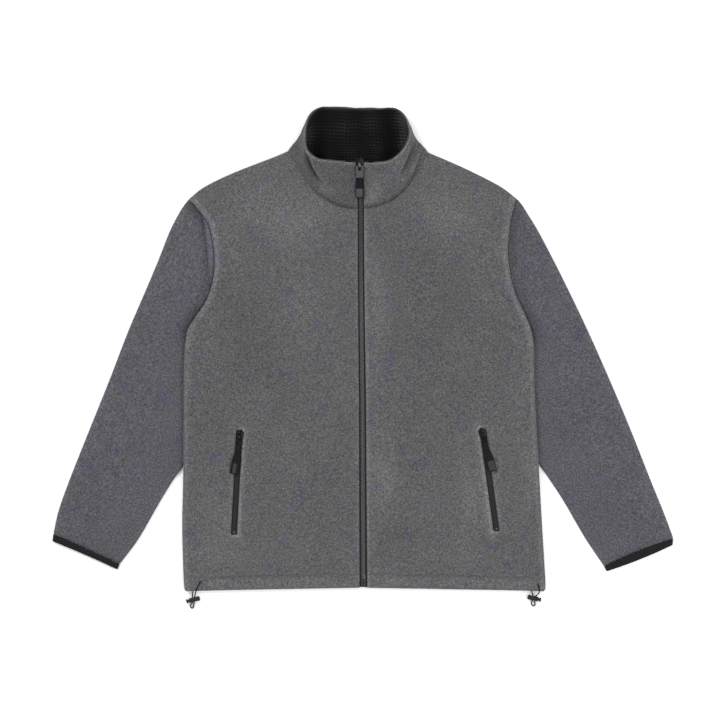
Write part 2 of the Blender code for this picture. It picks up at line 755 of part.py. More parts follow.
def build_sleeves():
    for side, sign in SIDES.items():
        grid, top, under = sleeve_grid(side)
        to_under, _ = nearest(grid.reshape(-1, 2), under, outward(under, -sign))
        thin, full = UNDERARM_REACH
        grown = smooth((to_under - thin) / full)
        height = UNDERARM_HEIGHT + (SLEEVE_HEIGHT - UNDERARM_HEIGHT) * grown
        folds = [(top, outward(top, sign)), (under, outward(under, -sign))]
        flat_tube(f"sleeve_{side}", grid, folds, height, FLEECE, "sleeve_fleece")


def build_cuffs():
    for side, top_x, top_y, under_x, under_y, sleeve_bow, end_bow in CUFFS:
        grid, top, under = sleeve_grid(side)
        across = np.linspace(0, 1, grid.shape[1] - 4)
        start = bowed(top[-1], under[-1], across, sleeve_bow)
        end = bowed(np.array([top_x, top_y]), np.array([under_x, under_y]), across, end_bow)
        way = end - start
        start = start + way / np.linalg.norm(way, axis=1)[:, None] * 2 * GAP
        grid = np.array([fold_steps(row) for row in (start, (start + end) / 2, end)])
        folds = [(grid[:, 0], outward(grid[:, 0], SIDES[side])),
                 (grid[:, -1], outward(grid[:, -1], -SIDES[side]))]
        flat_tube(f"cuff_{side}", grid, folds, CUFF_HEIGHT, CUFF_WALL, "cuff_binding")


# Collar


def neck_seam():
    """Outer points of the neck seam from the left front round the back, with the wall's normals."""
    points, faces = [], []
    for side, order in (("left", 1), ("right", -1)):
        fractions, count = columns_of(side, FRONT_COLUMNS)
        front = at(NECK_LINE[side], np.array(fractions[:count]) / NECK_COLUMN)
        points.append(front[::order])
        faces.append(np.ones(count))
    back_count = 15
    back_length = lengths(NECK_BACK_LINE)[-1]
    edge = roll_steps(FOLD_REACH, back_length)[1:]
    middle = list(np.linspace(0.09, 0.91, back_count))
    back = at(NECK_BACK_LINE, edge + middle + [1 - f for f in reversed(edge)])
    ring = np.vstack([points[0], back, points[1]])
    face = np.concatenate([faces[0], -np.ones(len(back)), faces[1]])
    upper, upper_inner = body_wall(ring, 1, 1)
    lower, lower_inner = body_wall(ring, -1, 1)
    pick = (face > 0)[:, None]
    outer = np.where(pick, upper, lower)
    normal = outer - np.where(pick, upper_inner, lower_inner)
    return outer, normal


def collar_grid():
    """Outer points of the collar and its unit normals, rows from neck seam to rim.

    The wall is a little hollow where it leaves the right shoulder.
    """
    base, base_normal = neck_seam()
    rim_line = through(COLLAR_RIM)
    rim = at(rim_line, lengths(base) / lengths(base)[-1])
    toward = rim - base
    base = base + toward / np.linalg.norm(toward, axis=1)[:, None] * 3 * GAP
    rows = np.array(COLLAR_ROWS)[:, None, None]
    grid = base[None] * (1 - rows) + rim[None] * rows
    along = np.gradient(grid, axis=1)
    up = np.gradient(grid, axis=0)
    normal = np.cross(up, along)
    normal /= np.linalg.norm(normal, axis=2)[:, :, None]
    if normal[2, 0, 2] < 0:
        normal = -normal
    normal[0] = base_normal
    normal[1] = normal[1] * 0.6 + base_normal * 0.4
    normal[1] /= np.linalg.norm(normal[1], axis=1)[:, None]
    bulge = np.sin(np.pi * rows) * COLLAR_SWELL
    from_end = np.minimum(lengths(rim), lengths(rim)[-1] - lengths(rim))
    ends = smooth((from_end - 12) / 50)[None, :, None]
    to_side = (base[:, 0].max() - base[:, 0]) / COLLAR_PINCH_WIDTH
    pinch = COLLAR_PINCH * np.sin(np.pi * rows) ** 2 * np.exp(-(to_side**2))[None, :, None]
    return grid + normal * (bulge * ends - pinch), normal


def build_collar():
    outer, normal = collar_grid()
    wall("collar", outer, outer - normal * COLLAR_FLEECE, "fleece")
    run = lengths(outer[0])
    first = int(np.argmax(run > LINING_FROM_ZIP))
    last = len(run) - int(np.argmax(run[::-1] < run[-1] - LINING_FROM_ZIP))
    part = (slice(LINING_FROM_ROW, None), slice(first, last))
    skin = outer[part] - normal[part] * (COLLAR_FLEECE + GAP)
    wall("collar_lining", skin, skin - normal[part] * LINING, "waffle_lining")


def build_neck_lining():
    left, right = NECK_LINING_HALF
    x = np.linspace(left, right, 11)
    top = np.interp(x, NECK_BACK_LINE[:, 0], NECK_BACK_LINE[:, 1]) - 2 * GAP
    rows = np.array([0, 0.25, 0.5, 0.75, 1])[:, None]
    y = NECK_LINING_BOTTOM + (top[None] - NECK_LINING_BOTTOM) * rows
    low = np.full(y.shape, FLEECE + GAP)
    across = np.broadcast_to(x[None], y.shape)
    under = np.stack([across, y, low], axis=2)
    over = np.stack([across, y, low + LINING], axis=2)
    wall("back_neck_lining", over, under, "waffle_lining")


# Zips


def collar_slope():
    """Height where the zip turns up the collar, and its rise for each millimetre of y."""
    start = front_height(np.array([[float(zip_x(NECK_FRONT_Y)), NECK_FRONT_Y]]))[0]
    return start, (COLLAR_RIM[0][2] - start) / (COLLAR_RIM[0][1] - ZIP_RISES_FROM)


def zip_surface(points):
    """Height of the cloth beside the main zip, on the fronts and up the collar."""
    start, slope = collar_slope()
    on_collar = start + slope * (points[:, 1] - ZIP_RISES_FROM)
    flat = front_height(np.column_stack([points[:, 0], np.minimum(points[:, 1], NECK_FRONT_Y)]))
    return np.where(points[:, 1] > ZIP_RISES_FROM, on_collar, flat)


def ribbon(name, left, right, height, top, thickness, look):
    """A flat strip between two edges in the plane, its upper face at height plus top."""
    grid = np.stack([left, (left + right) / 2, right], axis=1)
    z = height(grid.reshape(-1, 2)).reshape(grid.shape[:2]) + top
    upper = np.dstack([grid, z])
    lower = upper - np.array([0, 0, thickness])
    return wall(name, upper, lower, look)


def zip_stations(side, bottom, top):
    """Heights along the zip: the rows of that side's front, and steps up the collar."""
    rows = front_points(side)[:, 0, 1]
    inside = [y for y in rows if bottom + 2 < y < top - 2]
    return np.array([bottom, *inside, *np.linspace(ZIP_RISES_FROM, top, 6)])


def build_main_zip():
    for side, sign in SIDES.items():
        y = zip_stations(side, HEM_CENTRE_Y + 1, ZIP_TAPE_TOP)
        inner = np.column_stack([zip_x(y) + sign * (CHAIN_HALF + CHAIN_GAP), y])
        outer = np.column_stack([zip_x(y) + sign * ZIP_TAPE_OUTER, y])
        under = -FLEECE - TAPE_GAP
        ribbon(f"zip_tape_{side}", inner, outer, zip_surface, under, TAPE, "zip_tape")
    bottom = HEM_CENTRE_Y + 1
    y = zip_stations("left", bottom + 1, SLIDER_Y)
    left, right = (np.column_stack([zip_x(y) + s * CHAIN_HALF, y]) for s in (-1, 1))
    chain = ribbon("zip_chain", left, right, zip_surface, CHAIN_TOP, CHAIN_THICK, "zip_chain")
    add_zip_box(chain, bottom)
    build_main_slider()


def add_zip_box(chain, bottom):
    """The box at the zip's lower end, slotted at both sides for the tapes."""
    width, length, height = BOX_SIZE
    centre = np.array([[float(zip_x(HEM_CENTRE_Y)), bottom + length / 2]])
    z = zip_surface(centre)[0] - FLEECE - TAPE_GAP - TAPE / 2
    seat = in_metres(Matrix.Translation((centre[0, 0], centre[0, 1], z)))
    combine(chain, box("zip_box", BOX_SIZE, (0, 0, 0)), "UNION")
    chain.modifiers[-1].object.matrix_world = seat
    for sign in (-1, 1):
        size = (width, length + 2, TAPE + 2 * GAP)
        middle = sign * (BOX_CORE_HALF + width / 2)
        combine(chain, box(f"zip_box_slot_{sign}", size, (middle, 0, 0)), "DIFFERENCE")
        chain.modifiers[-1].object.matrix_world = seat


def slider(name, length, lower_plate):
    """A slider: its plates, and the bridge that holds the pull. Its own origin is on the surface."""
    plate = box(name, (SLIDER_WIDTH, length, SLIDER_PLATE), (0, 0, SLIDER_PLATE / 2))
    round_edges(plate, 0.5)
    eye_y = -HINGE_FORWARD
    bottom = eye_y - EYE_HALF - BRIDGE_FOOT
    top = eye_y + EYE_HALF + BRIDGE_FOOT + 2.5
    size = (2 * BRIDGE_HALF, top - bottom, BRIDGE_HEIGHT + 0.4)
    centre = (0, (top + bottom) / 2, SLIDER_PLATE + BRIDGE_HEIGHT / 2 - 0.2)
    combine(plate, box(f"{name}_bridge", size, centre), "UNION")
    eye = (2 * BRIDGE_HALF + 1, 2 * EYE_HALF, 2 * EYE_HALF)
    window = box(f"{name}_eye", eye, (0, eye_y, SLIDER_PLATE + HINGE_UP))
    combine(plate, window, "DIFFERENCE")
    if lower_plate:
        post_bottom = CHAIN_TOP - CHAIN_THICK - GAP - SLIDER_PLATE - SLIDER_RAISE
        size = (SLIDER_WIDTH, 3.0, SLIDER_PLATE / 2 - post_bottom)
        centre = (0, length / 2 - 1.5, (SLIDER_PLATE / 2 + post_bottom) / 2)
        combine(plate, box(f"{name}_post", size, centre), "UNION")
        size = (SLIDER_WIDTH, length, SLIDER_PLATE)
        centre = (0, 0, post_bottom + SLIDER_PLATE / 2)
        combine(plate, box(f"{name}_lower", size, centre), "UNION")
    return keep(plate, "zip_metal")


def pull(kind, names, matrix, empty_name):
    """A pull, link and moulded grip, on an empty at its hinge. It lies towards its own -Y."""
    link_width, link_length, neck_top, neck_bottom, neck, paddle_width, paddle = PULLS[kind]
    empty = bpy.data.objects.new(empty_name, None)
    bpy.data.collections[PART].objects.link(empty)
    empty.matrix_world = in_metres(matrix)
    bar = LINK_THICK / 2
    size = (link_width, link_length + bar, LINK_THICK)
    link = box(names[0], size, (0, (bar - link_length) / 2, 0))
    eye_length = LINK_EYE_END - bar
    eye = box(f"{names[0]}_eye", (2 * LINK_EYE_HALF, eye_length, 4), (0, -bar - eye_length / 2, 0))
    combine(link, eye, "DIFFERENCE")
    round_edges(link, 0.35)
    hang(keep(link, "zip_metal"), empty)
    start = -link_length - GAP
    outline = (
        (-neck_top / 2, start),
        (-neck_bottom / 2, start - neck + 2),
        (-neck_bottom / 2, start - neck),
        (-paddle_width / 2, start - neck - 1.2),
        (-paddle_width / 2, start - neck - paddle),
    )
    outline = [*outline, *((-x, y) for x, y in reversed(outline))]
    shape = bmesh.new()
    low = [shape.verts.new(Vector((x, y, -GRIP_THICK / 2)) * MM) for x, y in outline]
    face = shape.faces.new(low)
    grown = bmesh.ops.extrude_face_region(shape, geom=[face])["geom"]
    raised = [v for v in grown if isinstance(v, bmesh.types.BMVert)]
    bmesh.ops.translate(shape, vec=(0, 0, GRIP_THICK * MM), verts=raised)
    bmesh.ops.recalc_face_normals(shape, faces=shape.faces)
    grip = round_edges(from_bmesh(names[1], shape), 0.7)
    hang(keep(grip, "pull_rubber"), empty)


def hinge_matrix(seat, kind):
    move = Matrix.Translation((0, -HINGE_FORWARD, SLIDER_PLATE + HINGE_UP))
    return seat @ move @ Matrix.Rotation(math.radians(PULL_DROP[kind]), 4, "X")


def main_seat():
    """Where the main slider sits: its origin over the zip, tilted with the collar."""
    _, slope = collar_slope()
    x = float(zip_x(SLIDER_Y))
    z = zip_surface(np.array([[x, SLIDER_Y]]))[0]
    tilt = Matrix.Rotation(math.atan(slope), 4, "X")
    return Matrix.Translation((x, SLIDER_Y, z)) @ tilt @ Matrix.Translation((0, 0, SLIDER_RAISE))


def build_main_slider():
    seat = main_seat()
    place(slider("zip_slider", SLIDER_LENGTH, True), seat)
    pull("main", ("zip_pull_link", "zip_pull_grip"), hinge_matrix(seat, "main"), "zip_pull_hinge")


def pocket_frame(row):
    """Top and bottom of a pocket's centre line, its direction down and its outward direction."""
    side, top_x, top_y, bottom_x, bottom_y = row[:5]
    top, bottom = np.array([top_x, top_y]), np.array([bottom_x, bottom_y])
    down = (bottom - top) / np.linalg.norm(bottom - top)
    out = np.array([-down[1], down[0]])
    return top, bottom, down, out * math.copysign(1, out[0] * SIDES[side])


def cut_pocket(front, side):
    row = next(row for row in POCKETS if row[0] == side)
    top, bottom, down, _ = pocket_frame(row)
    size = (2 * WINDOW_HALF, np.linalg.norm(bottom - top), 30)
    turn = Matrix.Rotation(math.atan2(down[0], -down[1]), 4, "Z")
    combine(front, box(f"pocket_window_{side}", size, (0, 0, 8)), "DIFFERENCE")
    centre = (top + bottom) / 2
    front.modifiers[-1].object.matrix_world = in_metres(Matrix.Translation((*centre, 0)) @ turn)


def build_pockets():
    for row in POCKETS:
        side, slider_down, slider_inward, lean = row[0], *row[5:]
        top, bottom, down, out = pocket_frame(row)
        long = np.linalg.norm(bottom - top)
        ends = [-POCKET_TAPE_OVER, GAP, 2 * GAP]
        run = np.array([*ends, *np.linspace(0.1, 0.9, 7) * long, *(long - e for e in ends[::-1])])
        open_rows = np.where((run < 2 * GAP) | (run > long - 2 * GAP), 0, 1)
        columns = [(-POCKET_TAPE_HALF, 0), (-POCKET_CHAIN_HALF - GAP, 0)]
        columns += [(-POCKET_CHAIN_HALF, POCKET_CHAIN_RISE), (POCKET_CHAIN_HALF, POCKET_CHAIN_RISE)]
        columns += [(POCKET_CHAIN_HALF + GAP, 0), (POCKET_TAPE_HALF, 0)]
        line = top + down * run[:, None]
        grid = np.stack([line + out * across for across, _ in columns], axis=1)
        z = front_height(grid.reshape(-1, 2)).reshape(grid.shape[:2]) - FLEECE - GAP
        upper = np.dstack([grid, z + np.outer(open_rows, [rise for _, rise in columns])])
        lower = np.dstack([grid, z - TAPE])
        wall(f"pocket_zip_{side}", upper, lower, "zip_tape")
        spot = top + down * slider_down - out * slider_inward
        z = front_height(spot[None])[0] + POCKET_SLIDER_RAISE
        heading = math.atan2(down[0], -down[1]) + math.radians(lean) * SIDES[side]
        seat = Matrix.Translation((*spot, z)) @ Matrix.Rotation(heading, 4, "Z")
        place(slider(f"pocket_slider_{side}", POCKET_SLIDER_LENGTH, False), seat)
        names = (f"pocket_link_{side}", f"pocket_grip_{side}")
        pull("pocket", names, hinge_matrix(seat, "pocket"), f"pocket_pull_hinge_{side}")


# Hem drawcord


def build_cords():
    for side, route in CORDS.items():
        line = at(through(route, step=0.5), np.linspace(0, 1, CORD_POINTS))
        curve = bpy.data.curves.new(f"cord_{side}", "CURVE")
        curve.dimensions = "3D"
        curve.bevel_depth = CORD / 2 * MM
        curve.bevel_resolution = 2
        curve.use_fill_caps = True
        spline = curve.splines.new("POLY")
        spline.points.add(len(line) - 1)
        for point, spot in zip(spline.points, line):
            point.co = (*((Vector(spot) - MIDDLE) * MM), 1)
        cord = bpy.data.objects.new(f"cord_{side}", curve)
        bpy.context.scene.collection.objects.link(cord)
        keep(cord, "cord")


def build_locks():
    for side, x, y, turn in LOCKS:
        seat = Matrix.Translation((x, y, BARREL_RADIUS)) @ Matrix.Rotation(math.radians(turn), 4, "Z")
        barrel = cone(f"lock_barrel_{side}", BARREL_RADIUS, BARREL_RADIUS, BARREL_LENGTH, (0, 0, 0))
        round_edges(barrel, 0.6)
        low, high = BARREL_SLOT
        size = (high - low, 4 * BARREL_RADIUS, BARREL_SLOT_HEIGHT)
        slot = box(f"lock_slot_{side}", size, ((low + high) / 2, 0, 0))
        combine(barrel, slot, "DIFFERENCE")
        bore_start = (BARREL_LENGTH - BORE_DEPTH, 0, 0)
        bore = cone(f"lock_bore_{side}", BORE_RADIUS, BORE_RADIUS, BORE_DEPTH + 1, bore_start, 16)
        combine(barrel, bore, "DIFFERENCE")
        place(keep(barrel, "lock_plastic"), seat)
        start = (BARREL_LENGTH - PLUNGER_IN, 0, 0)
        plunger = cone(f"lock_plunger_{side}", PLUNGER_RADIUS, PLUNGER_RADIUS,
                       PLUNGER_IN + PLUNGER_OUT + 0.4, start, 16)
        head_start, head_end, head_length = PLUNGER_HEAD
        head = cone(f"lock_head_{side}", head_start, head_end, head_length,
                    (BARREL_LENGTH + PLUNGER_OUT, 0, 0), 16)
        combine(plunger, head, "UNION")
        place(keep(plunger, "lock_plastic"), seat)


def main():
    clear_scene()
    collection(PART)
    collection("cutters")
    build_back()
    build_fronts()
    build_sleeves()
    build_cuffs()
    build_collar()
    build_neck_lining()
    build_main_zip()
    build_pockets()
    build_cords()
    build_locks()
    bpy.context.view_layer.update()


main()
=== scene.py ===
"""Looks of the fleece zip jacket: napped shell, waffle lining, zips, pulls and hem cord."""

import math

import bmesh
import bpy
import numpy as np
from mathutils import Matrix, Vector


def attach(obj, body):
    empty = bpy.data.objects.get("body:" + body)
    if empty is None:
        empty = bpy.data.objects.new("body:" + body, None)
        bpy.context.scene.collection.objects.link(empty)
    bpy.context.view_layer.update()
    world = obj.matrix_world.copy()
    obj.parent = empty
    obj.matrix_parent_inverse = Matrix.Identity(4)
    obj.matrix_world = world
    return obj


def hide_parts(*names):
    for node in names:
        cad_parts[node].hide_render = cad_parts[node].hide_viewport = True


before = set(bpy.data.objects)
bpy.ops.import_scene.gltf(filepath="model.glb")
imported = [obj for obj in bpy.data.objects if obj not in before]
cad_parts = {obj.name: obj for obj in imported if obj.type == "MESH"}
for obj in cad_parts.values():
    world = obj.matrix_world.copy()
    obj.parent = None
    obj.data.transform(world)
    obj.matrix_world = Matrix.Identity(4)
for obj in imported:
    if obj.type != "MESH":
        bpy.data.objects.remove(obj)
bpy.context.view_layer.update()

MM = 0.001
TURN = 6.283
MIDDLE_NOISE = (0.3, 0.7)
WANDER_STEP = 0.73
WANDER_MIX = 1.7
MIDDLE = Vector((0.75, -10.203, 0))
SIDES = {"left": -1, "right": 1}

# Cloth walls and gaps
FLEECE = 2.4
COLLAR_FLEECE = 2.0
LINING = 1.2
CUFF_WALL = 1.8
TAPE = 0.8
GAP = 0.3
TAPE_GAP = 0.5
ARMHOLE_GAP = 0.4

# Heights of the layers over the surface
BODY_HEIGHT = 8.4
SLEEVE_HEIGHT = 6.8
UNDERARM_HEIGHT = 5.2
UNDERARM_REACH = (36.0, 70.0)
CUFF_HEIGHT = 6.2
FOLD_REACH = 6.0
SLEEVE_FOLD_REACH = 5.0
ARMHOLE_ROLL = 1.0
ARMHOLE_ROLL_REACH = 5.0

# The sleeve's underarm edge lies under the body's side, which rides up over it
TUCK_LIFT = 5.9
TUCK_SHOULDER_END = (92.0, 42.0)
TUCK_HEM_END = (-245.0, -192.0)
TUCK_FLAT = ((-192.0, 8.0), (-110.0, 36.0))
TUCK_FADE = 58.0

# Soft swells in the fronts: centre, half length, half width, turn in degrees, height
SWELLS = (
    # x, y, length, width, turn, height
    (-215, 150, 110, 26, 62, 0.7),
    (-120, 40, 150, 40, 78, 0.5),
    (-60, -190, 170, 34, 84, 0.6),
    (-215, -220, 120, 24, 88, 0.5),
    (205, 120, 110, 26, 112, 0.7),
    (110, 10, 150, 38, 98, 0.6),
    (52, -200, 160, 30, 93, 0.7),
    (222, -210, 120, 24, 94, 0.5),
)
NECK_RISE = 2.6
NECK_RISE_REACH = 55.0

# Outline of the body, from the left side seam's hem end to the shoulder and neck: x, y
SIDE_SEAM = {
    "left": ((-285.2, -390.8), (-287.8, -383), (-289.6, -342), (-290.9, -278), (-289.0, -197),
             (-288.2, -83), (-288.2, -43), (-287.2, -8), (-285.6, 12)),
    "right": ((293.2, -390.8), (295.9, -383), (293.8, -342), (289.9, -278), (285.3, -197),
              (279.0, -83), (277.6, -43), (277.3, -8), (276.3, 12)),
}
ARMHOLE = {
    "left": ((-285.6, 12), (-281.2, 33), (-268, 54), (-252, 79), (-242, 110), (-238.6, 142),
             (-241.5, 172), (-250, 205), (-279.0, 243.2)),
    "right": ((276.3, 12), (270.5, 37), (257, 68), (245, 97), (238, 128), (235.4, 160),
              (237.5, 192), (242, 218), (248.5, 243.5)),
}
SHOULDER = {
    "left": ((-279.0, 243.2), (-260, 258.8), (-235, 272.5), (-206, 285.6), (-173, 298.6),
             (-140, 311.2), (-119.8, 320)),
    "right": ((248.5, 243.5), (228, 259.5), (205, 272.6), (179, 285.6), (152, 298.2),
              (127, 309), (105.8, 317.6)),
}
NECK_FRONT = {
    "left": ((-21, 227.3), (-36, 230.2), (-52, 237.3), (-67, 247.2), (-82, 260), (-97, 280.5),
             (-108, 301), (-119.8, 320)),
    "right": ((24, 231.2), (42, 237.5), (56, 246.3), (69, 258), (80, 273), (93, 294),
              (105.8, 317.6)),
}
NECK_FRONT_Y = 227.0
ZIP_RISES_FROM = 229.5
NECK_BACK = ((-119.8, 320), (-98, 315.6), (-52, 311.9), (-7, 311), (45, 311.9), (87, 314.6),
             (105.8, 317.6))
HEM_CENTRE_Y = -385.0
HEM_SIDE_DROP = 5.2
HEM_BEND = 1.0
BACK_HEM_SHORTER = 1.2

# Centre line of the main zip: x, y, and half the opening between the fronts there
ZIP_LINE = (
    # y, x, half_opening
    (-386, 1.8, 6.2),
    (-213, 0.8, 5.8),
    (-83, 0.3, 5.6),
    (46, -1.3, 5.2),
    (143, -2.1, 5.0),
    (232, -2.4, 5.0),
    (268, -3.2, 5.6),
    (302, -4.4, 5.9),
)

# Sleeve outline after its seam: outer edge, then underarm edge, from armhole to cuff: x, y
SLEEVE_TOP = {
    "left": ((-288, 232), (-297, 217.5), (-311, 190), (-330, 142), (-350.6, 93), (-377.6, 30),
             (-408.8, -51), (-441.4, -132), (-473.5, -213), (-490.7, -262), (-498.6, -297.5)),
    "right": ((257.5, 233.5), (266, 220), (284, 190.5), (309, 143), (333, 95), (364, 30),
              (400, -51), (434, -132), (466, -213), (486, -262), (502.0, -305)),
}
SLEEVE_UNDER = {
    "left": ((-256, 6), (-254.5, -30), (-256, -70), (-261, -108), (-270, -146), (-281, -174),
             (-291, -191), (-307, -214), (-326, -245), (-344.8, -278), (-363.8, -310),
             (-391.3, -346.4)),
    "right": ((247, 6), (245.5, -30), (247, -70), (252, -108), (262, -144), (275, -170),
              (286.5, -187), (304, -213), (325, -245), (344, -278), (363, -310),
              (390.2, -350)),
}
SLEEVE_LEAVES_ARMHOLE = 0.1
RELAX_ROUNDS = 400
SLEEVE_RINGS = (0, 0.02, 0.06, 0.12, 0.19, 0.27, 0.36, 0.46, 0.57, 0.68, 0.79, 0.9, 1)

# Cuff band: its open end, and how far the sleeve's end is bowed towards the elbow there
CUFFS = (
    # side, top_x, top_y, under_x, under_y, sleeve_bow, end_bow
    ("left", -500.5, -310.0, -395.2, -355.6, 0.0, 1.0),
    ("right", 501.2, -315.9, 394.4, -358.6, 2.6, -2.2),
)

# Collar rim from its left front end, round the back, to its right front end
COLLAR_RIM = (
    # x, y, height
    (-10.3, 299.6, 33.0),
    (-31, 301.4, 33.5),
    (-62, 304.2, 34.5),
    (-79, 309.2, 35.5),
    (-91, 322.5, 36.5),
    (-93.4, 341.5, 34.5),
    (-91.4, 362, 28.5),
    (-85.6, 378.5, 21.5),
    (-70.5, 389.2, 15.5),
    (-46, 390.2, 12.0),
    (-7, 388.4, 10.5),
    (30, 388.6, 12.0),
    (54.5, 388.4, 15.5),
    (69.5, 376.5, 22.0),
    (76.3, 357, 29.0),
    (76.9, 343, 34.0),
    (72.2, 330, 36.5),
    (62.3, 316.2, 36.0),
    (47, 304.2, 34.8),
    (28, 300.2, 33.6),
    (1.5, 299.8, 33.0),
)
COLLAR_ROWS = (0, 0.08, 0.22, 0.42, 0.62, 0.82, 1)
LINING_FROM_ZIP = 17.0
COLLAR_SWELL = 2.2
COLLAR_PINCH = 5.5
COLLAR_PINCH_WIDTH = 26.0

# Inner back that the open collar shows
NECK_LINING_BOTTOM = 258.0
NECK_LINING_HALF = (-97.0, 84.0)

# Zip parts
ZIP_TAPE_OUTER = 14.0
CHAIN_THICK = 2.4
CHAIN_TOP = -1.0
ZIP_TAPE_TOP = 303.0
BOX_SIZE = (9.0, 14.0, 5.0)
SLIDER_WIDTH = 11.0
SLIDER_LENGTH = 16.0
SLIDER_PLATE = 1.6
SLIDER_Y = 300.0
SLIDER_RAISE = -0.7
BRIDGE_HALF = 1.5
BRIDGE_HEIGHT = 4.4
BAR_SQUARENESS = 0.6
HINGE_FORWARD = 4.6
HINGE_UP = 1.7
EYE_HALF = 1.5
LINK_THICK = 1.8
LINK_EYE_HALF = 2.1
LINK_EYE_END = 7.4
GRIP_THICK = 3.4

# Pulls: link, moulded neck and paddle
PULLS = {
    # link_width, link_length, neck_top, neck_bottom, neck_length, paddle_width, paddle_length
    "main": (12.4, 19.5, 6.8, 12.4, 16.6, 13.0, 16.6),
    "pocket": (7.4, 24.0, 9.0, 13.6, 16.0, 12.4, 18.4),
}

# Pocket zips: the ends of each window's centre line, and where the slider and its pull are
POCKETS = (
    # side, top_x, top_y, bottom_x, bottom_y, slider_down, slider_inward, pull_lean
    ("left", -198.4, -130.6, -207.3, -299.1, 8.5, 1.6, 6.7),
    ("right", 194.0, -127.6, 216.6, -293.6, 8.5, 1.1, 8.0),
)
WINDOW_HALF = 5.0
POCKET_TAPE_OVER = 5.0
POCKET_SLIDER_LENGTH = 14.0
POCKET_SLIDER_RAISE = 0.9
PULL_DROP = {"main": 0.0, "pocket": 1.7}

# Hem drawcord and its locks
CORD = 2.0
CORD_POINTS = 36
CORDS = {
    # route of the cord's centre, from the face of the front, through the lock twice, into the hem
    "left": ((-261.1, -375.5, 9.9), (-263.9, -380.2, 9.9), (-266.3, -384.6, 9.9),
             (-268.0, -388.4, 9.9), (-268.8, -391.6, 9.4), (-269.4, -393.8, 8.0),
             (-269.9, -396.0, 6.2), (-270.3, -398.2, 4.7), (-270.7, -400.4, 3.9),
             (-271.0, -404.2, 3.9), (-271.4, -408.0, 3.9), (-271.9, -411.4, 3.2),
             (-272.2, -414.6, 2.1), (-273.1, -417.3, 1.3), (-275.0, -418.6, 1.1),
             (-276.8, -417.3, 1.4), (-277.4, -414.8, 2.1), (-276.8, -412.4, 2.9),
             (-275.3, -410.6, 3.5), (-274.0, -408.4, 3.9), (-274.4, -404.0, 3.9),
             (-274.6, -400.6, 3.9), (-274.2, -396.4, 4.0), (-273.6, -392.6, 4.2),
             (-272.8, -388.0, 4.2), (-272.2, -377.0, 4.2)),
    "right": ((283.6, -379.7, 9.9), (284.6, -383.6, 9.9), (285.7, -387.2, 9.9),
              (285.9, -391.2, 9.5), (285.0, -393.4, 8.0), (283.3, -395.7, 6.0),
              (281.3, -397.8, 4.6), (279.5, -399.3, 3.9), (278.6, -402.6, 3.9),
              (278.0, -406.4, 3.9), (278.7, -409.0, 3.4), (279.2, -411.4, 2.5),
              (278.5, -413.7, 1.4), (276.2, -414.8, 1.1), (274.0, -413.4, 1.3),
              (273.1, -410.8, 2.2), (273.6, -408.0, 3.2), (274.8, -405.6, 3.9),
              (275.6, -402.4, 3.9), (275.9, -399.0, 3.9), (275.1, -395.6, 3.9),
              (274.1, -392.4, 4.1), (273.0, -388.2, 4.2), (272.4, -378.0, 4.2)),
}
LOCKS = (
    # side, closed_x, closed_y, turn (direction of the plunger from the closed end)
    ("left", -262.4, -401.9, 194.0),
    ("right", 266.6, -399.8, -13.0),
)
BARREL_RADIUS = 3.9
BARREL_LENGTH = 17.4
BARREL_SLOT = (3.4, 14.3)
BARREL_SLOT_HEIGHT = 3.2
BORE_RADIUS = 2.7
BORE_DEPTH = 2.5
PLUNGER_RADIUS = 2.35
PLUNGER_IN = 0.6
PLUNGER_OUT = 2.4
PLUNGER_HEAD = (2.35, 3.6, 2.6)

# Finer sizes of the cloth, in mm
NECK_COLUMN = 0.38
ROW_STEP = 3.2
BACK_ROW_STEP = 4.0
BACK_COLUMN_STEPS = (5.4, 5.0)
FRONT_COLUMNS = (46, 26)
WINDOW_CORNER = 1.8
WINDOW_CELLS = 4
WINDOW_ROWS = (-1.2, -0.4, 0, 0.35, 0.9, 1.8, 3.2, 5)
LIP_COLUMNS = (0, 0.4, 1.0, 1.8, 2.8, 4.2, 6.0)
SAMPLES = 61
HEM_STITCH = 22.0
ZIP_STITCH = 7.4
WAFFLE_WIDE = 5.4
WAFFLE_TALL = 4.0
HEAD_RIDGE = ((-281.5, 240.5), (-264.5, 226), (-256.4, 209), (-252.2, 180), (-249.2, 149),
              (-247.1, 118), (-249, 96))
HEAD_FADES = (108.0, 150.0)
STITCH_PITCH = 3.4
STITCH_LONG = 2.6
STITCH_THICK = 0.55
TOOTH_PITCH = 3.44
TOOTH_PLAN = ((3.0, -0.9), (3.0, 0.9), (2.2, 1.05), (1.5, 0.95), (0.9, 0.6), (0.3, 0.6),
              (-0.25, 0.78), (-0.75, 0.45), (-0.75, -0.45), (-0.25, -0.78), (0.3, -0.6),
              (0.9, -0.6), (1.5, -0.95), (2.2, -1.05))
PAD_SHADE_RIMS = {
    # left, right and lower rim of black round the paddle's grey pad; its widths on each pull paint
    # the shade on the paddle's edges
    "main": (0.7, 1.7, 1.6),
    "left": (3.2, 3.2, 1.2),
    "right": (1.2, 0.9, 1.4),
}
UNDERSIDE_SHIFT = (9.0, -14.0)
CREASE_BEND = 0.8

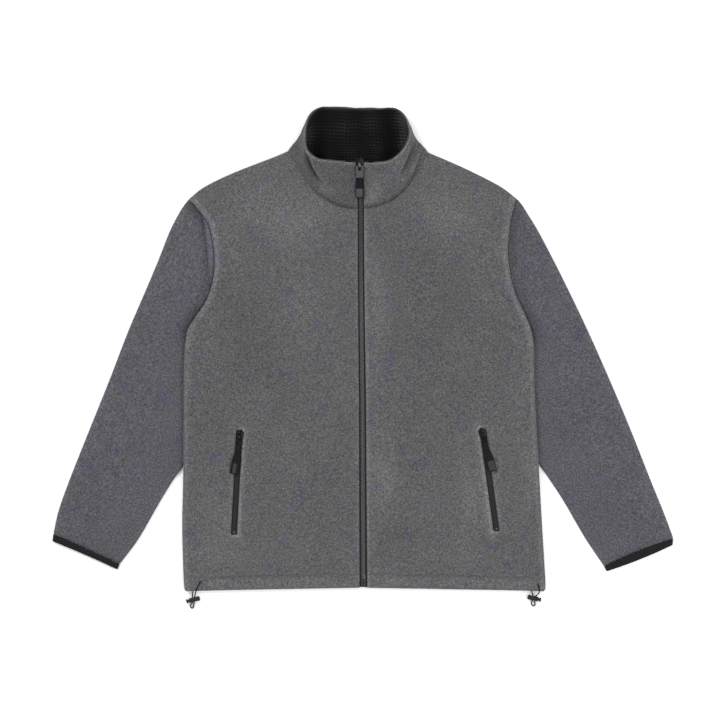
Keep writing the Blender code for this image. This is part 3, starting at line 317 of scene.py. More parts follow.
# Soft troughs and ridges of the laid-out shell: x, y, half length, half width, turn, height
CREASES = (
    (-200, 205, 70, 9, 118, -0.9),
    (-168, 120, 95, 14, 105, -0.6),
    (-105, 215, 60, 8, 60, -0.5),
    (-235, -20, 120, 13, 82, -0.8),
    (-120, -60, 120, 18, 70, -0.5),
    (-150, -340, 70, 10, 12, -0.6),
    (-60, 90, 140, 16, 88, -0.5),
    (-250, -250, 95, 9, 92, -0.7),
    (185, 190, 75, 9, 66, -0.8),
    (150, 95, 110, 13, 78, -0.7),
    (95, 225, 65, 9, 126, -0.5),
    (228, -40, 120, 12, 99, -0.8),
    (110, -120, 130, 17, 104, -0.6),
    (140, -345, 80, 10, 170, -0.6),
    (60, 60, 130, 15, 92, -0.6),
    (255, -270, 90, 9, 89, -0.7),
)
SLEEVE_CREASES = (
    (-330, 60, 70, 10, 60, -0.9),
    (-300, -60, 60, 9, 35, -0.8),
    (-372, -60, 90, 12, 74, -0.7),
    (-380, -170, 70, 9, 48, -0.8),
    (-430, -210, 75, 10, 70, -0.6),
    (-300, 150, 60, 9, 96, -0.7),
    (322, 70, 75, 10, 118, -0.9),
    (296, -50, 60, 9, 146, -0.8),
    (366, -55, 95, 12, 104, -0.7),
    (372, -175, 70, 9, 130, -0.8),
    (425, -205, 80, 10, 109, -0.6),
    (298, 150, 60, 9, 84, -0.7),
)
COLLAR_CREASES = (
    (-92, 300, 26, 5.0, -58, 0.8),
    (82, 293, 32, 3.4, 66, 1.6),
    (-40, 262, 40, 7, -35, 0.5),
    (50, 270, 40, 8, 40, 0.5),
)
# Painted highlights on the collar, in the same columns as the body's strokes
COLLAR_HIGHLIGHT_STROKES = (
    (18, 254, 24, 11, 68, 0.3),
    (52, 292, 34, 8, 58, 0.2),
    (64, 273, 17, 7, 58, 0.28),
    (15, 243, 11, 7, 0, 0.25),
    (-61, 258, 17, 9, -42, 0.36),
)

# How far the collar's sides are drawn in over their plain form, left and right
COLLAR_DRAWN = (4.4, 0.6)

# Folds that lap over the cloth on their low side: line, side, width, depth, shade
COLLAR_LAPS = (
    (((-92, 322), (-90.7, 318.7), (-83.9, 301.5), (-77.1, 287.9), (-66.9, 272.5), (-58.3, 264.1)),
     -1, 6.5, 2.2, 0.75),
    (((79, 336), (78.1, 322.1), (69.7, 301.5), (62.7, 284.5), (59.5, 272)), 1, 5.5, 1.6, 0.5),
    (((97, 325), (93.5, 315.1), (83.3, 287.9), (73.1, 269.1)), 1, 4.0, 0.5, 0.3),
)

# Painted light and shade across the lining: place, width and how much lighter
LINING_SHADES = (
    (-88, 11, 0.3),
    (-68, 9, -0.3),
    (-8, 26, -0.04),
    (42, 11, -0.24),
    (70, 13, 0.42),
)

# Broad strokes that paint the body lighter or darker, for the nap's tone and for broad light and
# shade: x, y, half length, half width, turn, amount
NAP_AND_LIGHT_STROKES = (
    (-115, 205, 80, 42, 0, 0.24),
    (-185, 225, 60, 26, 50, 0.10),
    (-180, 20, 95, 44, 88, -0.16),
    (-98, 92, 62, 26, 84, 0.12),
    (150, 210, 66, 36, -8, 0.22),
    (120, 20, 150, 62, 92, -0.10),
    (150, -100, 70, 30, 90, -0.08),
    (27, 70, 90, 16, 91, 0.24),
    (36, -205, 80, 24, 92, 0.26),
    (-235, -290, 80, 26, 86, 0.12),
    (-190, -338, 90, 20, 3, 0.14),
    (140, -338, 95, 18, -3, 0.10),
    (176, -240, 85, 18, 94, 0.22),
    (272, -215, 55, 11, 90, 0.22),
    (268, 60, 110, 9, 92, 0.12),
    (60, -310, 50, 26, 10, -0.08),
)

# Camera and light
CAMERA_HEIGHT = 10000.0
CAMERA_X = -4.5
CAMERA_Y = -7.18
VIEW_WIDTH = 1163.0
SKY_STRENGTH = 0.9
FLOOR_DROP = -0.0006
FLOOR_HALF = 6.0
LAMPS = (
    # name, x, y, z, size, power
    ("key", -2.1, 1.9, 2.6, 1.5, 85.0),
    ("fill", 2.0, -0.8, 2.6, 2.2, 55.0),
)


# Curves and distances in the plane


def smooth(value):
    value = np.clip(value, 0, 1)
    return value * value * (3 - 2 * value)


def bell(gap, width):
    """1 where the gap is 0, falling off over the width on both sides."""
    return np.exp(-((gap / width) ** 2))


def through(points, step=2.0):
    """A smooth line through the points, as closely spaced points (Catmull-Rom)."""
    points = np.asarray(points, float)
    ends = np.vstack([2 * points[0] - points[1], points, 2 * points[-1] - points[-2]])
    line = []
    for a, b, c, d in zip(ends, ends[1:], ends[2:], ends[3:]):
        count = max(2, int(np.linalg.norm(c - b) / step))
        for t in np.arange(count) / count:
            bend = (2 * a - 5 * b + 4 * c - d) * t * t + (3 * b - a - 3 * c + d) * t**3
            line.append((2 * b + (c - a) * t + bend) / 2)
    line.append(points[-1])
    return np.array(line)


def lengths(line):
    return np.concatenate([[0], np.cumsum(np.linalg.norm(np.diff(line, axis=0), axis=1))])


def fitted(line, places):
    """Points at distances in mm along a polyline of any width."""
    run = lengths(line)
    return np.column_stack([np.interp(places, run, line[:, k]) for k in range(line.shape[1])])


def at(line, fractions):
    """The points at these fractions of a line's length."""
    return fitted(line, np.asarray(fractions, float) * lengths(line)[-1])


def outward(line, side):
    """Unit normals of a line in the plane that point away from the body on that side."""
    tangent = np.gradient(line, axis=0)
    tangent /= np.linalg.norm(tangent, axis=1)[:, None]
    normal = np.column_stack([-tangent[:, 1], tangent[:, 0]])
    return normal * np.where(normal[:, :1] * side < 0, -1, 1)


def nearest(points, line, normals):
    """Distance from each point to a line, and the unit direction in which it lies."""
    parts = [found(part, line, normals) for part in np.array_split(points, len(points) // 4000 + 1)]
    return tuple(np.concatenate(part) for part in zip(*parts))


def found(points, line, normals):
    """As nearest, for a few thousand points at a time."""
    start, run = line[:-1], np.diff(line, axis=0)
    reach = points[:, None, :] - start[None]
    t = np.clip((reach * run[None]).sum(2) / (run * run).sum(1)[None], 0, 1)
    away = start[None] + t[:, :, None] * run[None] - points[:, None, :]
    distance = np.linalg.norm(away, axis=2)
    best = distance.argmin(1)
    rows = np.arange(len(points))
    gap = distance[rows, best]
    direction = away[rows, best] / np.maximum(gap, 1e-9)[:, None]
    direction = np.where(gap[:, None] > 0.05, direction, normals[best])
    return gap, direction


SEAM_LINE = {side: through(SIDE_SEAM[side]) for side in SIDES}
ARMHOLE_LINE = {side: through(ARMHOLE[side]) for side in SIDES}
SHOULDER_LINE = {side: through(SHOULDER[side]) for side in SIDES}
SIDE_EDGE = {side: np.vstack([SEAM_LINE[side], ARMHOLE_LINE[side][1:]]) for side in SIDES}
FOLDS = [(SEAM_LINE[side], outward(SEAM_LINE[side], SIDES[side])) for side in SIDES]
FOLDS += [(SHOULDER_LINE[side], outward(SHOULDER_LINE[side], SIDES[side])) for side in SIDES]
ZIP_ROWS = np.array(ZIP_LINE, float)


def zip_x(y):
    return np.interp(y, ZIP_ROWS[:, 0], ZIP_ROWS[:, 1])


def zip_edge_x(side, y):
    return zip_x(y) + SIDES[side] * np.interp(y, ZIP_ROWS[:, 0], ZIP_ROWS[:, 2])


NECK_LINE = {
    side: through([(float(zip_edge_x(side, NECK_FRONT_Y)), NECK_FRONT_Y), *NECK_FRONT[side]])
    for side in SIDES
}
NECK_BACK_LINE = through(NECK_BACK)
NECKLINES = np.vstack([NECK_LINE["left"][::-1], NECK_LINE["right"]])


# Heights over the surface


def lift(points):
    """How far the sleeves tucked under the sides raise the body."""
    x, y = points[:, 0], points[:, 1]
    start, full = TUCK_SHOULDER_END
    end, last = TUCK_HEM_END
    along = smooth((start - y) / (start - full)) * smooth((y - end) / (last - end))
    flat = np.interp(y, *zip(*TUCK_FLAT))
    total = np.zeros(len(points))
    for side, sign in SIDES.items():
        edge = np.interp(y, SIDE_EDGE[side][:, 1], SIDE_EDGE[side][:, 0])
        inside = sign * (edge - x)
        across = 1 - smooth((inside - flat) / TUCK_FADE)
        total += np.where(x * sign > 0, TUCK_LIFT * along * across, 0)
    return total


def relief(points, rows, bend=CREASE_BEND):
    """Height of soft troughs and ridges: x, y, half length, half width, turn, height."""
    total = np.zeros(len(points))
    for x, y, length, width, turn, height in rows:
        angle = math.radians(turn)
        along = (points[:, 0] - x) * math.cos(angle) + (points[:, 1] - y) * math.sin(angle)
        across = (points[:, 1] - y) * math.cos(angle) - (points[:, 0] - x) * math.sin(angle)
        across = across - (along / length) ** 2 * width * bend
        total += height * np.exp(-((along / length) ** 2) - (across / width) ** 2)
    return total


def front_height(points):
    """Height of the fronts' outer face, where it isn't rounding over a folded edge."""
    to_neck = distance(points, NECKLINES)
    rise = NECK_RISE * (1 - smooth(to_neck / NECK_RISE_REACH))
    return lift(points) + BODY_HEIGHT + relief(points, SWELLS, 0) + rise


def folded_edge(points, folds):
    """Distance to the nearest of some folded edges, and the direction in which it lies."""
    found = [nearest(points, line, normals) for line, normals in folds]
    gaps = np.array([gap for gap, _ in found])
    best = gaps.argmin(0)
    rows = np.arange(len(points))
    return gaps[best, rows], np.array([way for _, way in found])[best, rows]


def body_wall(points, face, thickness=FLEECE):
    """Outer and inner points of a front (face 1) or the back (face -1) over points in the plane."""
    gap, way = folded_edge(points, FOLDS)
    lean = 1 - np.minimum(gap, FOLD_REACH) / FOLD_REACH
    rise = np.sqrt(1 - lean**2)
    low, high = lift(points), front_height(points)
    half = (high - low) / 2
    z = low + half + face * (GAP / 2 + (half - GAP / 2) * rise)
    if face > 0:
        for side in SIDES:
            to_armhole = distance(points, ARMHOLE_LINE[side])
            z -= ARMHOLE_ROLL * rise * (1 - smooth(to_armhole / ARMHOLE_ROLL_REACH))
    outer = np.column_stack([points, z])
    normal = np.column_stack([way * lean[:, None], face * rise])
    return outer, outer - thickness * normal


# Fine rows and columns


def spaced(length, step, start=(), end=()):
    """Places along a length in mm: close together over each rounded end, even between."""
    start, end = list(start), list(end)
    low = start[-1] if start else 0.0
    high = length - (end[-1] if end else 0.0)
    count = max(2, int(round((high - low) / step)))
    middle = list(np.linspace(low, high, count + 1))
    return np.array(start[:-1] + middle + [length - e for e in reversed(end[:-1])])


def rolled(reach, steps):
    """Distances in from a folded edge, evenly spaced round the fold."""
    return [reach * (1 - math.cos(math.radians(90 * k / steps))) for k in range(steps + 1)]


def smoother(grid, axis, factor):
    """A grid with more points along one axis, on a cubic curve through the old ones."""
    grid = np.moveaxis(grid, axis, 0)
    step = np.linalg.norm(np.diff(grid, axis=0), axis=-1).reshape(len(grid) - 1, -1).mean(1)
    knots = np.concatenate([[0], np.cumsum(step)])
    slope = np.gradient(grid, knots, axis=0)
    places = np.interp(np.linspace(0, len(grid) - 1, (len(grid) - 1) * factor + 1),
                       np.arange(len(grid)), knots)
    left = np.clip(np.searchsorted(knots, places, side="right") - 1, 0, len(knots) - 2)
    span = knots[left + 1] - knots[left]
    t = (places - knots[left]) / span
    shape = (-1,) + (1,) * (grid.ndim - 1)
    t, span = t.reshape(shape), span.reshape(shape)
    made = (2 * t**3 - 3 * t**2 + 1) * grid[left] + (t**3 - 2 * t**2 + t) * span * slope[left]
    made += (3 * t**2 - 2 * t**3) * grid[left + 1] + (t**3 - t**2) * span * slope[left + 1]
    return np.moveaxis(made, 0, axis)


def patch(bottom, top, near, far, across, up):
    """Points inside four edges (a Coons patch), rows from bottom to top."""
    u = np.asarray(across)[None, :, None]
    v = np.asarray(up)[:, None, None]
    ruled = (1 - v) * bottom[None] + v * top[None] + (1 - u) * near[:, None] + u * far[:, None]
    corners = (1 - u) * (1 - v) * bottom[0] + u * (1 - v) * bottom[-1]
    corners = corners + (1 - u) * v * top[0] + u * v * top[-1]
    return ruled - corners


def uneven(run, period, seed):
    """A slow wander between about -1 and 1 along a seam, never twice the same."""
    value = np.zeros_like(run)
    for k in range(4):
        wave = np.sin(run / period * (1 + WANDER_STEP * k) * TURN + seed * (k + 1))
        value += math.cos(seed * WANDER_MIX + k) * wave
    return value / 2


def distance(points, line):
    """How far each point is from a line."""
    return nearest(points, line, outward(line, 1))[0]


def lapped(points, line, side, width, depth, shade):
    """Relief of a fold that laps over the cloth on one side, and its painted shade under the lap
    and light on its lip, fading at both ends.
    """
    line = through(line, 1.0)
    way = line[-1] - line[0]
    low = np.array([way[1], -way[0]]) / np.linalg.norm(way)
    low = low * (1 if low[0] * side > 0 else -1)
    gap, toward = nearest(points, line, outward(line, 1))
    gap = gap * np.where(toward @ low < 0, 1, -1)
    run = (points - line[0]) @ way / (way @ way)
    fade = smooth(run / 0.3 + 0.15) * (1 - smooth((run - 0.6) / 0.4))
    under = fade * smooth(gap / 0.8) * bell(gap, width)
    lip = fade * smooth(-gap / 0.8) * bell(gap, 5)
    return 0.5 * lip - depth * under, 0.25 * lip - shade * under


# Materials


def srgb(code):
    """Linear red, green, blue and alpha of a hex colour."""
    levels = [int(code[k : k + 2], 16) / 255 for k in (1, 3, 5)]
    return (*(v / 12.92 if v <= 0.04045 else ((v + 0.055) / 1.055) ** 2.4 for v in levels), 1)


def add(tree, kind, inputs=(), stops=(), **settings):
    """Adds a node with its settings. Sets each input or links it to a socket or to a node's first
    output, and gives a colour ramp its stops, each a place and a hex colour."""
    made = tree.nodes.new(kind)
    for key, value in settings.items():
        setattr(made, key, value)
    for key, value in dict(inputs).items():
        if isinstance(value, bpy.types.Node):
            value = value.outputs[0]
        if isinstance(value, bpy.types.NodeSocket):
            tree.links.new(value, made.inputs[key])
        else:
            made.inputs[key].default_value = value
    if stops:
        marks = made.color_ramp.elements
        while len(marks) < len(stops):
            marks.new(0.5)
        for mark, (place, code) in zip(marks, stops):
            mark.position = place
            mark.color = srgb(code)
    return made


def started(name, **constants):
    """A new material with its surface shader's constants, its node tree and object coordinates."""
    made = bpy.data.materials.new(name)
    made.use_nodes = True
    tree = made.node_tree
    surface = tree.nodes["Principled BSDF"]
    for key, value in constants.items():
        surface.inputs[key.replace("_", " ")].default_value = value
    spot = add(tree, "ShaderNodeTexCoord").outputs["Object"]
    return made, tree, surface, spot


def per_mm(size):
    """Texture scale for a pattern of this size in mm, as coordinates are in metres."""
    return 1000 / size


def dressed(tree, surface, colour, height=None, depth=None, strength=1.0):
    """Gives the surface its colour, and a grain of this depth in metres."""
    tree.links.new(colour.outputs[0], surface.inputs["Base Color"])
    if height is not None:
        bump = add(tree, "ShaderNodeBump", {"Height": height, "Distance": depth,
                                            "Strength": strength})
        tree.links.new(bump.outputs[0], surface.inputs["Normal"])


def fleece(name, dark, mid, light, violet):
    """Brushed polyester fleece, dyed melange: a matt nap in clumps, light fibre tips among dark."""
    made, tree, surface, spot = started(
        name, Roughness=0.95, Sheen_Weight=0.3, Sheen_Roughness=0.5,
        Sheen_Tint=srgb("#bdbdc0"), Specular_IOR_Level=0.1)
    # Clumps of nap 3 mm across, with curled tufts of 1 mm and single fibres on them
    clumps = add(tree, "ShaderNodeTexNoise", {"Vector": spot, "Scale": per_mm(2.6), "Detail": 4.0,
                                              "Roughness": 0.66, "Distortion": 0.4})
    tufts = add(tree, "ShaderNodeTexNoise", {"Vector": spot, "Scale": per_mm(1.25), "Detail": 4.0,
                                             "Roughness": 0.7, "Distortion": 1.6})
    both = add(tree, "ShaderNodeMix", {0: 0.45, 2: clumps, 3: tufts})
    grain = add(tree, "ShaderNodeValToRGB", {0: both}, [(0.38, dark), (0.5, mid), (0.645, light)])
    # Patches 28 mm across where the melange turns violet, and broad strokes of the nap
    patches = add(tree, "ShaderNodeTexNoise", {"Vector": spot, "Scale": per_mm(28), "Detail": 4.0,
                                               "Roughness": 0.75})
    tint = add(tree, "ShaderNodeValToRGB", {0: patches},
               [(0.4, "#eeeeec"), (0.56, "#eeeeee"), (0.68, violet)])
    tinted = add(tree, "ShaderNodeMix", {0: 1.0, 6: grain, 7: tint}, data_type="RGBA",
                 blend_type="MULTIPLY").outputs[2]
    strokes = add(tree, "ShaderNodeTexNoise", {"Vector": spot, "Scale": per_mm(95), "Detail": 2.0})
    brushed = add(tree, "ShaderNodeMapRange", {0: strokes, 1: MIDDLE_NOISE[0], 2: MIDDLE_NOISE[1],
                                               3: 1.08, 4: 1.2})
    # The per-point colour scale adds painted light and shade, with the nap's tone
    tone_and_painted_light = add(tree, "ShaderNodeAttribute", attribute_name="tone_and_painted_light").outputs["Fac"]
    toned_and_lit = add(tree, "ShaderNodeMath", {0: brushed, 1: tone_and_painted_light}, operation="ADD")
    shade = add(tree, "ShaderNodeVectorMath", {0: tinted, "Scale": toned_and_lit}, operation="SCALE")
    dressed(tree, surface, shade, both, 0.0011, 0.55)
    return made


def waffle_knit():
    """Black waffle knit in polyester yarn: ridged cells, matt, with fine stitch lines."""
    made, tree, surface, spot = started(
        "waffle_knit", Roughness=0.95, Sheen_Weight=0.05, Sheen_Roughness=0.5,
        Specular_IOR_Level=0.08)
    loops = add(tree, "ShaderNodeTexNoise", {"Vector": spot, "Scale": per_mm(0.9), "Detail": 2.0})
    # The per-point colour scale lightens the knit's ridges and paints light and shade on the lining
    tone_and_painted_light = add(tree, "ShaderNodeAttribute", attribute_name="tone_and_painted_light").outputs["Fac"]
    height = add(tree, "ShaderNodeMath", {0: loops, 1: tone_and_painted_light}, operation="ADD")
    colour = add(tree, "ShaderNodeValToRGB", {0: height},
                 [(0.1, "#040404"), (0.55, "#111111"), (1.0, "#383838")])
    dressed(tree, surface, colour, loops, 0.0004)
    return made


def ribbed_binding():
    """Black elastane binding: a fine rib knit with a low lustre."""
    made, tree, surface, spot = started(
        "ribbed_binding", Roughness=0.85, Sheen_Weight=0.04, Specular_IOR_Level=0.12)
    grain = add(tree, "ShaderNodeTexNoise", {"Vector": spot, "Scale": per_mm(1.1), "Detail": 3.0})
    colour = add(tree, "ShaderNodeValToRGB", {0: grain},
                 [(0.3, "#0c0c0d"), (0.55, "#171718"), (0.8, "#282829")])
    dressed(tree, surface, colour, grain, 0.0004)
    return made


def zip_twill():
    """Woven polyester zip tape: a close twill, its ribs 0.8 mm apart, drawn coarse to show."""
    made, tree, surface, spot = started("zip_twill", Roughness=0.85, Sheen_Weight=0.04,
                                        Specular_IOR_Level=0.15)
    ribs = add(tree, "ShaderNodeTexWave", {"Vector": spot, "Scale": per_mm(0.8) / TURN,
                                           "Distortion": 1.5}, bands_direction="DIAGONAL")
    yarn = add(tree, "ShaderNodeTexNoise", {"Vector": spot, "Scale": per_mm(0.7), "Detail": 2.0})
    both = add(tree, "ShaderNodeMix", {0: 0.5, 2: ribs.outputs["Fac"], 3: yarn})
    colour = add(tree, "ShaderNodeValToRGB", {0: both},
                 [(0.25, "#141415"), (0.5, "#202021"), (0.75, "#2e2e30")])
    dressed(tree, surface, colour, both, 0.0003)
    return made


def plastic(name, low, high, roughness, shine=0.25, mark=1.6):
    """Moulded acetal or nylon: even colour with faint flow marks and a fine spark-eroded grain."""
    made, tree, surface, spot = started(name, Roughness=roughness, Specular_IOR_Level=shine)
    flow = add(tree, "ShaderNodeTexNoise", {"Vector": spot, "Scale": per_mm(mark), "Detail": 3.0})
    marked = add(tree, "ShaderNodeValToRGB", {0: flow}, [(0.3, low), (0.7, high)])
    # The per-point colour scale paints shadow where it is given, as on the zip's upper teeth
    tone_and_painted_light = add(tree, "ShaderNodeAttribute", attribute_name="tone_and_painted_light").outputs["Fac"]
    kept = add(tree, "ShaderNodeMath", {0: tone_and_painted_light, 1: 1.0}, operation="ADD")
    shade = add(tree, "ShaderNodeVectorMath", {0: marked, "Scale": kept}, operation="SCALE")
    grit = add(tree, "ShaderNodeTexNoise", {"Vector": spot, "Scale": per_mm(0.5)})
    dressed(tree, surface, shade, grit, 0.00008)
    return made


def casting(name, low, high):
    """Zinc die casting with dark nickel plate: satin, with handling wear that evens its gloss."""
    made, tree, surface, spot = started(name, Metallic=1.0)
    wear = add(tree, "ShaderNodeTexNoise", {"Vector": spot, "Scale": per_mm(2.2), "Detail": 4.0})
    dressed(tree, surface, add(tree, "ShaderNodeValToRGB", {0: wear}, [(0.35, low), (0.7, high)]))
    gloss = add(tree, "ShaderNodeMapRange", {0: wear, 1: MIDDLE_NOISE[0], 2: MIDDLE_NOISE[1],
                                             3: 0.42, 4: 0.28})
    tree.links.new(gloss.outputs[0], surface.inputs["Roughness"])
    return made


def braid():
    """Braided elastic cord, 2 mm: black yarn with a faint lustre on its plaits."""
    made, tree, surface, spot = started("braid", Roughness=0.8, Specular_IOR_Level=0.15)
    plait = add(tree, "ShaderNodeTexWave", {"Vector": spot, "Scale": per_mm(1.1) / TURN,
                                            "Distortion": 4.0}, bands_direction="DIAGONAL")
    colour = add(tree, "ShaderNodeValToRGB", {0: plait.outputs["Fac"]},
                 [(0.2, "#060606"), (0.8, "#1b1b1b")])
    dressed(tree, surface, colour, plait.outputs["Fac"], 0.0003)
    return made


def pale_paper():
    """Matt white studio paper under the jacket."""
    made, tree, surface, spot = started("pale_paper", Roughness=0.95, Specular_IOR_Level=0.1)
    fibre = add(tree, "ShaderNodeTexNoise", {"Vector": spot, "Scale": per_mm(6.0), "Detail": 2.0})
    colour = add(tree, "ShaderNodeValToRGB", {0: fibre}, [(0.3, "#f6f6f6"), (0.7, "#f9f9f9")])
    dressed(tree, surface, colour)
    return made


# Each finish: its maker and what that is given, for plastics also roughness, shine and flow marks
MATERIALS = {
    "fleece": (fleece, "grey_fleece", "#2e2e2f", "#4b4b4c", "#6b6b6c", "#ded9fb"),
    "sleeve_fleece": (fleece, "violet_fleece", "#2d2c30", "#48474c", "#67666c", "#dfdafa"),
    "waffle": (waffle_knit,),
    "binding": (ribbed_binding,),
    "twill": (zip_twill,),
    "teeth": (plastic, "acetal_teeth", "#3a3a3c", "#58585a", 0.42, 0.5),
    "metal": (casting, "slider_metal", "#151517", "#2e2e30"),
    # A lighter copy of the slider metal for the main slider's arch: painted glints
    "worn_metal": (casting, "worn_metal", "#3c3c3f", "#77777b"),
    "charcoal": (plastic, "grip_charcoal", "#262627", "#313132", 0.6, 0.15),
    "grip": (plastic, "grip_rubber", "#323233", "#3e3e3f", 0.62),
    "grip_dark": (plastic, "grip_dark", "#080809", "#101011", 0.6, 0.12),
    "strap": (plastic, "strap_grey", "#363638", "#424244", 0.5),
    "nylon": (plastic, "lock_nylon", "#0f0f10", "#1b1b1c", 0.5),
    "braid": (braid,),
    "thread": (plastic, "thread", "#39393b", "#4e4e50", 0.75, 0.25, 0.8),
    "paper": (pale_paper,),
}
MADE = {}


def material_of(finish):
    """The finish's material, made once."""
    if finish not in MADE:
        maker, *given = MATERIALS[finish]
        MADE[finish] = maker(*given)
    return MADE[finish]


# Meshes


def shell(name, outer, inner, finish, keep=None, closed=False, tone_and_painted_light=None):
    """A thin cloth shell between two grids of points in mm. keep picks the cells that are made."""
    rows, columns = outer.shape[:2]
    index = np.arange(rows * columns).reshape(rows, columns)
    if closed:
        index = np.concatenate([index, index[:, :1]], axis=1)
    quads = np.stack([index[:-1, :-1], index[:-1, 1:], index[1:, 1:], index[1:, :-1]], axis=-1)
    quads = quads[keep] if keep is not None else quads.reshape(-1, 4)
    points = outer.reshape(-1, 3), inner.reshape(-1, 3)
    a, b, d = (points[0][quads[:, k]] for k in (0, 1, 3))
    way = np.cross(b - a, d - a)
    if (way * (a - points[1][quads[:, 0]])).sum() < 0:
        quads = quads[:, ::-1]
    count = rows * columns
    start, end = quads.reshape(-1), np.roll(quads, -1, axis=1).reshape(-1)
    open_edge = ~np.isin(start * count + end, end * count + start)
    start, end = start[open_edge], end[open_edge]
    sides = np.stack([end, start, start + count, end + count], axis=1)
    faces = np.concatenate([quads, quads[:, ::-1] + count, sides])
    spots = (np.concatenate(points) - np.array(MIDDLE)) * MM
    spots[:, 2] = np.maximum(spots[:, 2], 0)
    mesh = bpy.data.meshes.new(name)
    mesh.from_pydata(spots.tolist(), [], faces.tolist())
    if tone_and_painted_light is not None:
        tone_and_light_layer(mesh, np.tile(tone_and_painted_light.reshape(-1), 2))
    return finish_piece(name, mesh, finish)


# Per-point colour scale that the materials read: painted light and shade on rims, folds, creases
# and seams, with the nap's tone
def tone_and_light_layer(mesh, values):
    layer = mesh.attributes.new("tone_and_painted_light", "FLOAT", "POINT")
    layer.data.foreach_set("value", values.astype(np.float32))


def placed(name, data):
    """A new object in the scene for a mesh, curve, lamp or camera."""
    made = bpy.data.objects.new(name, data)
    bpy.context.scene.collection.objects.link(made)
    return made


def finish_piece(name, mesh, finish):
    """A scene object from a mesh, shaded smooth, with loose points removed and its material."""
    form = bmesh.new()
    form.from_mesh(mesh)
    bmesh.ops.delete(form, geom=[v for v in form.verts if not v.link_faces], context="VERTS")
    form.to_mesh(mesh)
    form.free()
    mesh.shade_smooth()
    piece = placed(name, mesh)
    mesh.materials.append(material_of(finish))
    return piece


def worn(piece, body, slot, *nodes):
    """Puts a piece on its body, in place of its CAD nodes. Its slot argument is not used."""
    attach(piece, body)
    if nodes:
        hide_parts(*nodes)


# Camera, cords and light


def aim_camera():
    """Straight above, at the distance that a garment is shot from for a catalogue page."""
    lens = bpy.data.cameras.new("camera")
    lens.sensor_width = 36.0
    lens.lens = 36.0 * CAMERA_HEIGHT / VIEW_WIDTH
    lens.clip_end = 30.0
    camera = placed("camera", lens)
    camera.location = (CAMERA_X * MM, CAMERA_Y * MM, CAMERA_HEIGHT * MM)
    bpy.context.scene.camera = camera


def lay_cords():
    """The hem drawcord's two ends: out of the hem, through the lock, round and back in."""
    for side, route in CORDS.items():
        line = at(through(route, step=0.5), np.linspace(0, 1, CORD_POINTS))
        line = (line - np.array(MIDDLE)) * MM
        curve = bpy.data.curves.new(f"hem_cord_{side}", "CURVE")
        curve.dimensions = "3D"
        curve.bevel_depth = CORD / 2 * MM
        curve.bevel_resolution = 4
        curve.use_fill_caps = True
        spline = curve.splines.new("POLY")
        spline.points.add(len(line) - 1)
        for point, spot in zip(spline.points, line):
            point.co = (*spot, 1)
        cord = placed(f"hem_cord_{side}", curve)
        curve.materials.append(material_of("braid"))
        worn(cord, "jacket", "cord", f"cord_{side}")


def light_studio():
    """A white sweep under an even soft light, a little stronger from the upper left."""
    world = bpy.data.worlds.new("studio")
    world.use_nodes = True
    sky = world.node_tree.nodes["Background"]
    sky.inputs["Color"].default_value = (1, 1, 1, 1)
    sky.inputs["Strength"].default_value = SKY_STRENGTH
    bpy.context.scene.world = world
    for name, x, y, z, size, power in LAMPS:
        lamp = bpy.data.lights.new(name, "AREA")
        lamp.shape = "DISK"
        lamp.size = size
        lamp.energy = power
        fixture = placed(name, lamp)
        fixture.location = (x, y, z)
        fixture.rotation_euler = Vector((x, y, z)).to_track_quat("Z", "Y").to_euler()
    form = bmesh.new()
    bmesh.ops.create_grid(form, x_segments=1, y_segments=1, size=FLOOR_HALF)
    bmesh.ops.translate(form, vec=(0, 0, FLOOR_DROP), verts=form.verts)
    mesh = bpy.data.meshes.new("floor")
    form.to_mesh(mesh)
    form.free()
    floor = placed("floor", mesh)
    mesh.materials.append(material_of("paper"))
    bpy.context.scene.view_settings.view_transform = "Standard"
    bpy.context.scene.view_settings.look = "None"


# Fronts and back


def roll_steps(reach, length):
    """Fractions of a length that follow a rounded edge in from its start."""
    return [place / length for place in rolled(reach, 2)]


def over_edge(gap, reach, drop):
    """How far a surface falls as it rounds over an edge."""
    lean = 1 - np.clip(gap, 0, reach) / reach
    return drop * (1 - np.sqrt(1 - lean**2))


def hem_y(x, side):
    return HEM_CENTRE_Y - HEM_SIDE_DROP * np.abs(x / SEAM_LINE[side][0][0]) ** HEM_BEND


def hem_edge(side, start, fractions):
    """The hem from the middle to the side seam's end, rounded up at that corner."""
    end = SEAM_LINE[side][0]
    fractions = np.array(fractions)
    x = start + (end[0] - start) * fractions
    y = HEM_CENTRE_Y - HEM_SIDE_DROP * np.abs(x / end[0]) ** HEM_BEND
    return np.column_stack([x, y + (end[1] - y[-1]) * fractions**8])


def top_edge(side, fractions, neck_line):
    """The neckline and then the shoulder, one point for each column."""
    fractions = np.asarray(fractions)
    neck = at(neck_line, np.minimum(fractions / NECK_COLUMN, 1))
    beyond = np.maximum((fractions - NECK_COLUMN) / (1 - NECK_COLUMN), 0)
    shoulder = at(SHOULDER_LINE[side][::-1], beyond)
    return np.where((fractions <= NECK_COLUMN)[:, None], neck, shoulder)


def front_rows(side, across, up):
    """Points of a front, in rows from hem to shoulder."""
    far = at(SIDE_EDGE[side], up)
    top = top_edge(side, across, NECK_LINE[side])
    bottom = hem_edge(side, float(zip_edge_x(side, HEM_CENTRE_Y)), across)
    zip_y = bottom[0, 1] + (NECK_FRONT_Y - bottom[0, 1]) * np.asarray(up)
    near = np.column_stack([zip_edge_x(side, zip_y), zip_y])
    return patch(bottom, top, near, far, across, up)


def pocket_frame(side):
    """Top of a pocket's centre line, its length, its direction down and its outward direction."""
    row = next(row for row in POCKETS if row[0] == side)
    top, bottom = np.array(row[1:3]), np.array(row[3:5])
    long = np.linalg.norm(bottom - top)
    down = (bottom - top) / long
    out = np.array([-down[1], down[0]])
    return top, long, down, out * math.copysign(1, out[0] * SIDES[side])


